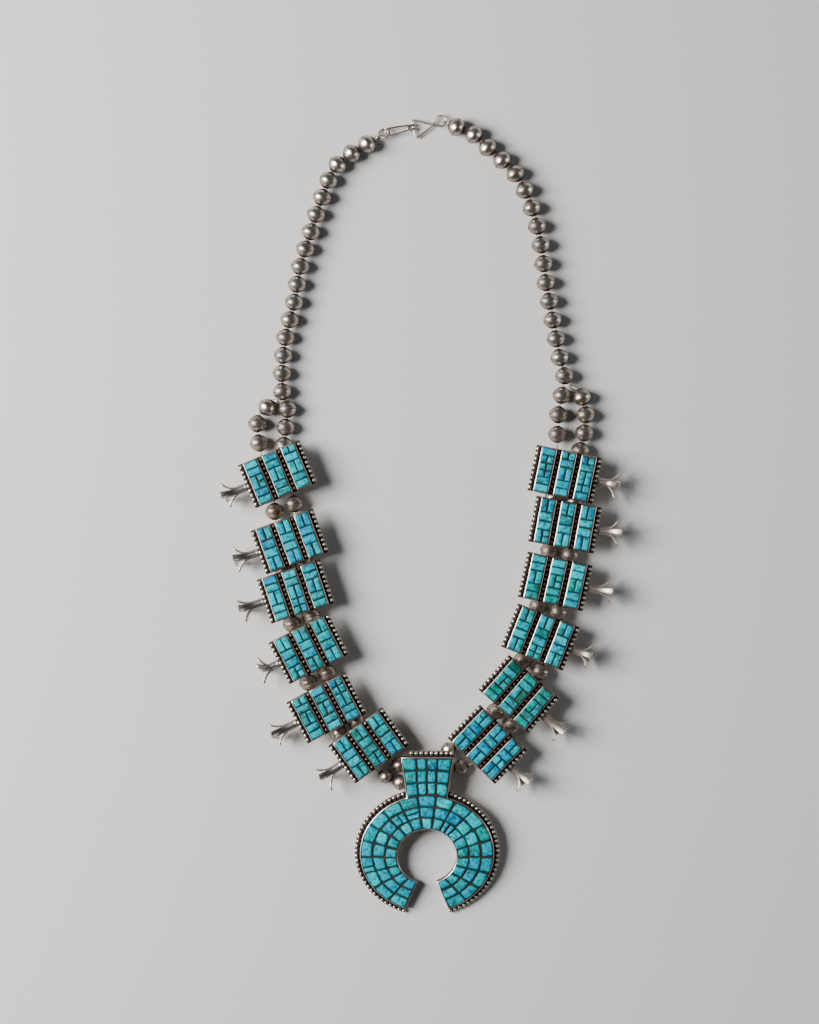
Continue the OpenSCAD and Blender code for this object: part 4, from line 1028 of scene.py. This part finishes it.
NAJA_W, HOLLOW_W, HOLLOW_H, HOLLOW_DROP = 56.6, 24.8, 23.1, 1.15
BAIL_TOP_W, BAIL_FOOT_W, NAJA_PLATE = 22.2, 17.6, 0.9
NAJA_ROWS, NAJA_N, NAJA_JOINT, NAJA_CORNER = 3, 19, 0.56, (0.2, 0.6)
NAJA_END = 180 - MOUTH
RIM = EDGE_W + DROP_D / 2
BAIL_Y = NAJA_H / 2
BAIL_TOP_Y = BAIL_Y + BAIL_H
SHELF_CUT = 0.16 * BAIL_TOP_W
FOOT_Y = (NAJA_H / 2 + RIM) * np.cos(np.radians(MOUTH))
TILT = np.arcsin((SMALL_D + 0.4) / (FOOT_Y + CROSSING[1][0][1][1] - NAJA_AT[1]))


def ellipse(w, h, drop=0.0):
    """An ellipse's edge: its points at angles from the top, moved out by grow."""
    def edge(a, grow=0.0):
        a = np.radians(a)
        return np.stack([(w / 2 + grow) * np.sin(a), (h / 2 + grow) * np.cos(a) - drop], -1)
    return edge


outer_edge, hollow_edge = ellipse(NAJA_W, NAJA_H), ellipse(HOLLOW_W, HOLLOW_H, HOLLOW_DROP)


def bail_half(y):
    """The bail's half width at a height."""
    return BAIL_FOOT_W / 2 + (BAIL_TOP_W - BAIL_FOOT_W) / 2 / BAIL_H * (y - BAIL_Y)


def foot_angle(grow):
    """Where the bail's side meets the outer ellipse, found by repeating the two formulas."""
    a = 18.0
    for _ in range(8):
        a = np.degrees(np.arcsin(bail_half(outer_edge(a, grow)[1]) / (NAJA_W / 2 + grow)))
    return a


def laid(shape):
    """The naja's place: tilted about its foot line and set below the bail's top."""
    p = shape["points"] + [0, FOOT_Y, 0]
    p[:, 1:] = turned(p[:, 1:], np.degrees(TILT))
    return {**shape, "points": p + [NAJA_AT[0], NAJA_AT[1] - FOOT_Y, 0]}


def keyhole(grow, top):
    """The outline of crescent and bail, counter-clockwise, the crescent moved out by grow; top are
    the points of the bail's upper edge from right to left."""
    a0 = foot_angle(grow)
    out = outer_edge(np.linspace(a0, NAJA_END, 58), grow)
    inn = hollow_edge(np.linspace(NAJA_END, -NAJA_END, 70))
    back = outer_edge(np.linspace(-NAJA_END, -a0, 58), grow)
    side, top = np.linspace(0, 1, 6)[1:-1, None], np.array(top)
    foot, left_foot = out[0], out[0] * [-1, 1]
    return np.concatenate([out, inn, back, left_foot + side * (top[-1] - left_foot), top[::-1],
                           top[0] + side * (foot - top[0])])[::-1]


def drawn_in(path, by):
    """Every side of a closed outline moved inwards: points go along their mitre."""
    before, after = path - np.roll(path, 1, 0), np.roll(path, -1, 0) - path
    u = before / np.linalg.norm(before, axis=1)[:, None]
    v = after / np.linalg.norm(after, axis=1)[:, None]
    normal = np.stack([-(u + v)[:, 1], (u + v)[:, 0]], -1)
    normal /= np.linalg.norm(normal, axis=1)[:, None]
    mitre = 1 / np.sqrt(np.clip((1 + (u * v).sum(1)) / 2, 0.3, 1))
    return path + by * (normal * mitre[:, None])


wall_top = [(x, BAIL_TOP_Y) for x in (BAIL_TOP_W / 2, 3.7, -3.7, -BAIL_TOP_W / 2)]
wall_path = keyhole(0.0, wall_top)
plate_path = keyhole(RIM, [(BAIL_TOP_W / 2, BAIL_TOP_Y), (BAIL_TOP_W / 2, BAIL_TOP_Y + RIM),
                           (-BAIL_TOP_W / 2 + SHELF_CUT * 0.7, BAIL_TOP_Y + RIM),
                           (-BAIL_TOP_W / 2, BAIL_TOP_Y - 0.3)])
naja_plate = sheet(lambda c: drawn_in(plate_path, c), NAJA_PLATE, (0.4, 0.3, 0.25, 1.0))
run = np.arange(len(wall_path)) * 2 * np.pi / len(wall_path)
sway = 0.03 * np.sin(23 * run) + 0.025 * np.sin(9 * run + 1)
naja_wall = solid(stacked([drawn_in(wall_path, inset + (upper(z) * np.maximum(sway, 0))[:, None])
                           for inset, z, _ in STRIP], NAJA_PLATE + STRIP[:, 1]),
                  ring=True, recess=STRIP[None, :, None, 2])

start = np.degrees(np.arcsin((BAIL_FOOT_W / 2 + DROP_D / 2) / (NAJA_W / 2)))
turn = np.linspace(start, NAJA_END - 0.8, 200)
run = distance_run(outer_edge(turn, EDGE_W))
count = int(run[-1] / DROP_PITCH)
turn = np.interp(np.linspace(0, run[-1], count + 1), run, turn)
spots = np.concatenate([outer_edge(turn, EDGE_W), outer_edge(-turn, EDGE_W)])
ledge = BAIL_TOP_W - SHELF_CUT - DROP_D
count = int(ledge / DROP_PITCH)
ledge_spots = np.stack([BAIL_TOP_W / 2 - DROP_D / 2 - np.arange(count + 1) * ledge / count,
                        np.full(count + 1, BAIL_TOP_Y + EDGE_W)], -1)

# Two wire loops behind the bail on each strand, between its small beads
bail_loops = []
for strand in (0, 1):
    b, n = bail_beads(strand), len(CROSSING[strand][0])
    a, z = bead_ends(b[n - 1], CROSSING_Z)[1][:2], bead_ends(b[n], CROSSING_Z)[0][:2]
    for f in (0.34, 0.68):
        p = a + f * (z - a)
        under = (p[1] - NAJA_AT[1] + FOOT_Y) * np.tan(TILT)
        bail_loops.append(string_loop(*p, CROSSING_Z, under + NAJA_PLATE / 2, heading(a, z)))
# The drops on the right and round the lower half are painted darker, as shade, and the others lighter, as
# painted light
DULL_PAINTED_SHADE, DULL_BELOW = 0.2, -4
dull = (spots[:, 0] > 0) | (spots[:, 1] < DULL_BELOW)
shapes = [naja_plate, naja_wall, drops(spots, NAJA_PLATE, np.where(dull, DULL_PAINTED_SHADE, LEFT_PAINTED_LIGHT)),
          drops(ledge_spots, NAJA_PLATE, LEFT_PAINTED_LIGHT)]
piece("setting_naja", [laid(s) for s in shapes] + bail_loops, worked_silver, "worked_silver",
      "naja_setting")

NAJA_MARGIN = BEZEL_WALL + 0.1 - NAJA_JOINT / 2
NAJA_TINT, NAJA_MATRIX = 0.52, 0.07


def end_angle(edge, l):
    """The angle that a length covers on an edge beside the crescent's ends."""
    return l / np.linalg.norm(edge(NAJA_END + 0.5) - edge(NAJA_END - 0.5))


def crescent_point(k, r):
    """A point of the stones' field, k stones round from the left end and r rows out: a straight line
    joins the two edges at equal angles."""
    f = r / NAJA_ROWS
    end = NAJA_END - (1 - f) * end_angle(hollow_edge, NAJA_MARGIN) - f * end_angle(outer_edge, NAJA_MARGIN)
    a = end * (2 * k / NAJA_N - 1)
    f = f[..., None] if np.ndim(f) else f
    return (1 - f) * hollow_edge(a, NAJA_MARGIN) + f * outer_edge(a, -NAJA_MARGIN)


def bail_point(u, v):
    """A point of the bail's field: u across, v from the crescent's edge to the top."""
    x0 = u * (BAIL_FOOT_W / 2 - NAJA_MARGIN)
    y0 = NAJA_H / 2 * np.sqrt(1 - (2 * x0 / NAJA_W) ** 2)
    y = y0 + v * (BAIL_TOP_Y - NAJA_MARGIN - y0)
    return np.stack([u * (bail_half(y) - NAJA_MARGIN), y], -1)


def field_stone(point, k0, k1, r0, r1, marks=None):
    """A stone whose cell is a patch of a field. Marks are its own tint, paleness and matrix."""
    km, rm = (k0 + k1) / 2, (r0 + r1) / 2
    half_w, half_l = (np.linalg.norm(point(*p) - point(km, rm)) for p in ((k1, rm), (km, r1)))

    def cell(u, v):
        return point(k0 + (u + 1) / 2 * (k1 - k0), r0 + (v + 1) / 2 * (r1 - r0))
    return stone(cell, half_w, half_l, NAJA_JOINT, NAJA_CORNER, NAJA_PLATE + BEZEL_H,
                 *(marks or stone_marks(NAJA_TINT, NAJA_MATRIX)))


# Stones that stand out, by place round and row out: tint, paleness and matrix; and the stones that
# are cut in two, at a share of their way round and at one of their way out
NAJA_SPECIAL = {
    (0, 2): (0.5, 0.5, 0.1), (2, 2): (0.34, 1.0, 0.0), (5, 2): (0.46, 0.2, 0.0), (6, 2): (0.6, 0.5, 0.0),
    (7, 2): (0.4, 0.5, 0.0), (10, 2): (0.36, 1.0, 0.05), (11, 2): (0.42, 0.4, 0.0), (12, 2): (0.56, 0.7, 0.0),
    (13, 2): (0.27, 0.1, 0.0), (5, 1): (0.4, 0.8, 0.1), (9, 1): (0.68, 0.1, 0.1), (11, 1): (0.72, 0.2, 0.0),
    (13, 1): (0.45, 1.1, 0.0), (7, 0): (0.75, 1.1, 0.0), (9, 0): (0.42, 1.2, 0.0), (12, 0): (0.5, 1.0, 0.0)}
NAJA_CUT = {(7, 1): (0.55, 1), (8, 1): (1, 0.5), (3, 2): (0.35, 1), (11, 0): (0.5, 1)}
ring_stones = []
for k in range(NAJA_N):
    step = rng.uniform(-0.04, 0.04, 2)
    for r in range(NAJA_ROWS):
        r0 = r + (step[0] if r else 0)
        r1 = r + 1 + (step[1] if r < NAJA_ROWS - 1 else 0)
        round_share, out_share = NAJA_CUT.get((k, r), (1, 1))
        km, rm = k + round_share, r0 + out_share * (r1 - r0)
        marks = NAJA_SPECIAL.get((k, r))
        ring_stones.append(field_stone(crescent_point, k, km, r0, rm, marks))
        if km < k + 1:
            ring_stones.append(field_stone(crescent_point, km, k + 1, r0, r1, marks))
        if rm < r1 - 0.1:
            ring_stones.append(field_stone(crescent_point, k, k + 1, rm, r1, marks))
piece("ring_stones", [laid(s) for s in ring_stones], turquoise, "turquoise", "naja_stones")
# The bail's joints: shares of its half width across, and of its height up
ACROSS, UP = (-1, -0.43, 0, 0.43, 1), (0, 1 / 3, 2 / 3, 1)
bail_cells = [field_stone(bail_point, u0, u1, v0, v1)
              for u0, u1 in zip(ACROSS, ACROSS[1:]) for v0, v1 in zip(UP, UP[1:])]
piece("stones_bail", [laid(s) for s in bail_cells], turquoise, "turquoise", "bail_stones")
levels = [(0.01, 0.02), (0.01, BEZEL_H - 0.27), (0.14, BEZEL_H - 0.23)]
bed = solid(stacked([drawn_in(wall_path, BEZEL_WALL + c) for c, _ in levels],
                    [NAJA_PLATE + z for _, z in levels]))
piece("mortar_naja", [laid(bed)], mortar, None, "naja_stones", "bail_stones")


# Clasp
# Drawn silver wire: a long double hook in a round jump ring on one side, a three-cornered eye
# with a round loop on the other, and a small wire loop at each end of the strings.

WIRE, RING_D, END_LOOP_D, HOOK_L, HOOK_W, HOOK_TIP = 0.8, 4.5, 3.3, 13.0, 2.9, 1.7
# The gap where wires touch, the ring's lean, and the hook's roll at its closed end, in degrees
TOUCH, RING_LEAN, HOOK_ROLL = 0.05, 32, -12
END_WIRE = 0.8 * WIRE
END_Z = END_LOOP_D / 2 + END_WIRE / 2 + TOUCH
REACH = BEAD_L / 2 + COLLAR_H + TOUCH + END_WIRE / 2 + END_LOOP_D / 2
PLAY = (END_LOOP_D - END_WIRE - WIRE) / 2 - TOUCH
first, other = single_beads(0)[0], single_beads(1)[0]
RING_AT = on_bead(first, 0, REACH + RING_D / 2 + PLAY)
EYE_AT = on_bead(other, 0, REACH + RING_D / 2 - PLAY)
HOOK_TURN = heading(RING_AT, EYE_AT)
HOOK_START = RING_D / 2 - HOOK_W / 2 - 0.3
HOOK_LOW = WIRE / 2 + TOUCH
EYE_LOW = HOOK_LOW + WIRE + TOUCH
HOOK_HIGH = EYE_LOW + 1.6 * WIRE + TOUCH
clasp_silver = silver("clasp silver", (0.76, 0.7, 0.61), (0.33, 0.25, 0.17), 0.6, 0.22, 0.15)


def arc(middle, r, start, stop, steps):
    """Points of a circle's arc."""
    a = np.radians(np.linspace(start, stop, steps + 1))
    return np.asarray(middle) + r * np.stack([np.cos(a), np.sin(a)], -1)


def circle(d):
    """A closed circle in the XY plane."""
    a = np.arange(40) * 2 * np.pi / 40
    return np.stack([d / 2 * np.cos(a), d / 2 * np.sin(a), 0 * a], -1)


for word, b in (("left", first), ("right", other)):
    upright = circle(END_LOOP_D)[:, [2, 0, 1]] + [0, 0, END_Z]
    tail = curve([(0, -END_LOOP_D * 0.35, END_Z + END_LOOP_D * 0.35),
                  (0, -END_LOOP_D * 0.5, STRING_Z - 0.2), (0, -END_LOOP_D / 2 - 0.8, STRING_Z),
                  (0, -END_LOOP_D / 2 - 1.6, STRING_Z)], 5)
    spot = (*on_bead(b, 0, REACH), 0)
    piece(f"loop_{word}", [moved(tube(upright, END_WIRE, closed=True), b[1], spot),
                           moved(tube(tail, END_WIRE), b[1], spot)],
          clasp_silver, "clasp_silver", f"end_loop_{word}")

lean = np.radians(RING_LEAN)
flat = circle(RING_D)
leaned = np.stack([flat[:, 0] * np.cos(lean), flat[:, 1], flat[:, 0] * np.sin(lean)], -1)
piece("ring_jump", [moved(tube(leaned, WIRE, 14, closed=True), first[1], (*RING_AT, END_Z))],
      clasp_silver, "clasp_silver", "jump_ring")

# Half of the hook: round its closed end, along the upper wire, over the tip and back below
w, t, bend = HOOK_W / 2, HOOK_TIP / 2, (HOOK_HIGH - HOOK_LOW) / 2
turn_y, first_z = HOOK_L - bend, END_Z + WIRE / 2
level_y = turn_y - 1.5
top = np.concatenate([arc([0, w], w, 272, 360, 6),
                      [(w, HOOK_L * 0.3), ((w + t) / 2, HOOK_L * 0.62), (t, level_y)]])
rising = np.column_stack([top, first_z + (HOOK_HIGH - first_z) * top[:, 1] / level_y])
over = arc([turn_y, HOOK_HIGH - bend], bend, 90, -90, 8)
half = np.concatenate([rising, np.column_stack([np.full(len(over), t), over]),
                       [(t, turn_y - 1.2, HOOK_LOW), (t * 0.75, turn_y - 2, HOOK_LOW),
                        (0.05, turn_y - 2.3, HOOK_LOW)]])


def rolled(p):
    """The hook rolled a little towards its closed end, to clear the ring."""
    a = np.radians(HOOK_ROLL * np.maximum(0, 1 - p[:, 1] / HOOK_L / 0.6))
    return np.stack([p[:, 0] * np.cos(a), p[:, 1], p[:, 2] + p[:, 0] * np.sin(a)], -1)


hook_path = curve(np.concatenate([rolled(half), rolled(half * [-1, 1, 1])[::-1]]), 3) + [0, HOOK_START, 0]
piece("hook_wire", [moved(tube(hook_path, WIRE, 14), HOOK_TURN, (*RING_AT, 0))],
      clasp_silver, "clasp_silver", "hook")


def bent(before, corner, after, r):
    """A corner bent to a small radius, as three points."""
    before, corner, after = (np.asarray(v, float) for v in (before, corner, after))
    u, v = (s / np.linalg.norm(s) for s in (before - corner, after - corner))
    return [corner + r * u, corner + 0.34 * r * (u + v), corner + r * v]


# The eye: its three-cornered part with the wire's seam on the far side, two crossings and the loop;
# the wire rises over itself from one end to the other
r = RING_D / 2
side_y = np.linalg.norm(EYE_AT - RING_AT) - HOOK_START - HOOK_L + WIRE + 2 * TOUCH
cross, seam = np.array([-0.95, 3.8]), np.array([-0.5 * HOOK_W - 1.2, side_y])
right_corner, left_corner, corner_r = (3.3, side_y + 0.2), (-5.1, side_y), 1.3
out_angle = np.degrees(np.arctan2(cross[1], cross[0]))
opening = np.degrees(np.arccos(r / np.linalg.norm(cross)))
flat = np.array([seam + [0.05, 0], *bent(seam, right_corner, cross, corner_r), cross,
                 *arc([0, 0], r, out_angle + opening, out_angle + 360 - opening, 16), cross,
                 *bent(cross, left_corner, seam, corner_r), seam - [0.05, 0]])
k = np.arange(len(flat))
n = len(flat) - 1
pass_lift = np.where((k < 4) | (k > n - 4), 0, (WIRE / 2 + TOUCH) * (1 - 2 * (k - 4) / (n - 8)))
eye_z = END_Z + (EYE_LOW - END_Z) * (flat[:, 1] + r) / (side_y + r) + pass_lift
piece("eye_wire", [moved(tube(curve(np.column_stack([flat, eye_z]), 3), WIRE, 14),
                         HOOK_TURN + 180, (*EYE_AT, 0))],
      clasp_silver, "clasp_silver", "eye")
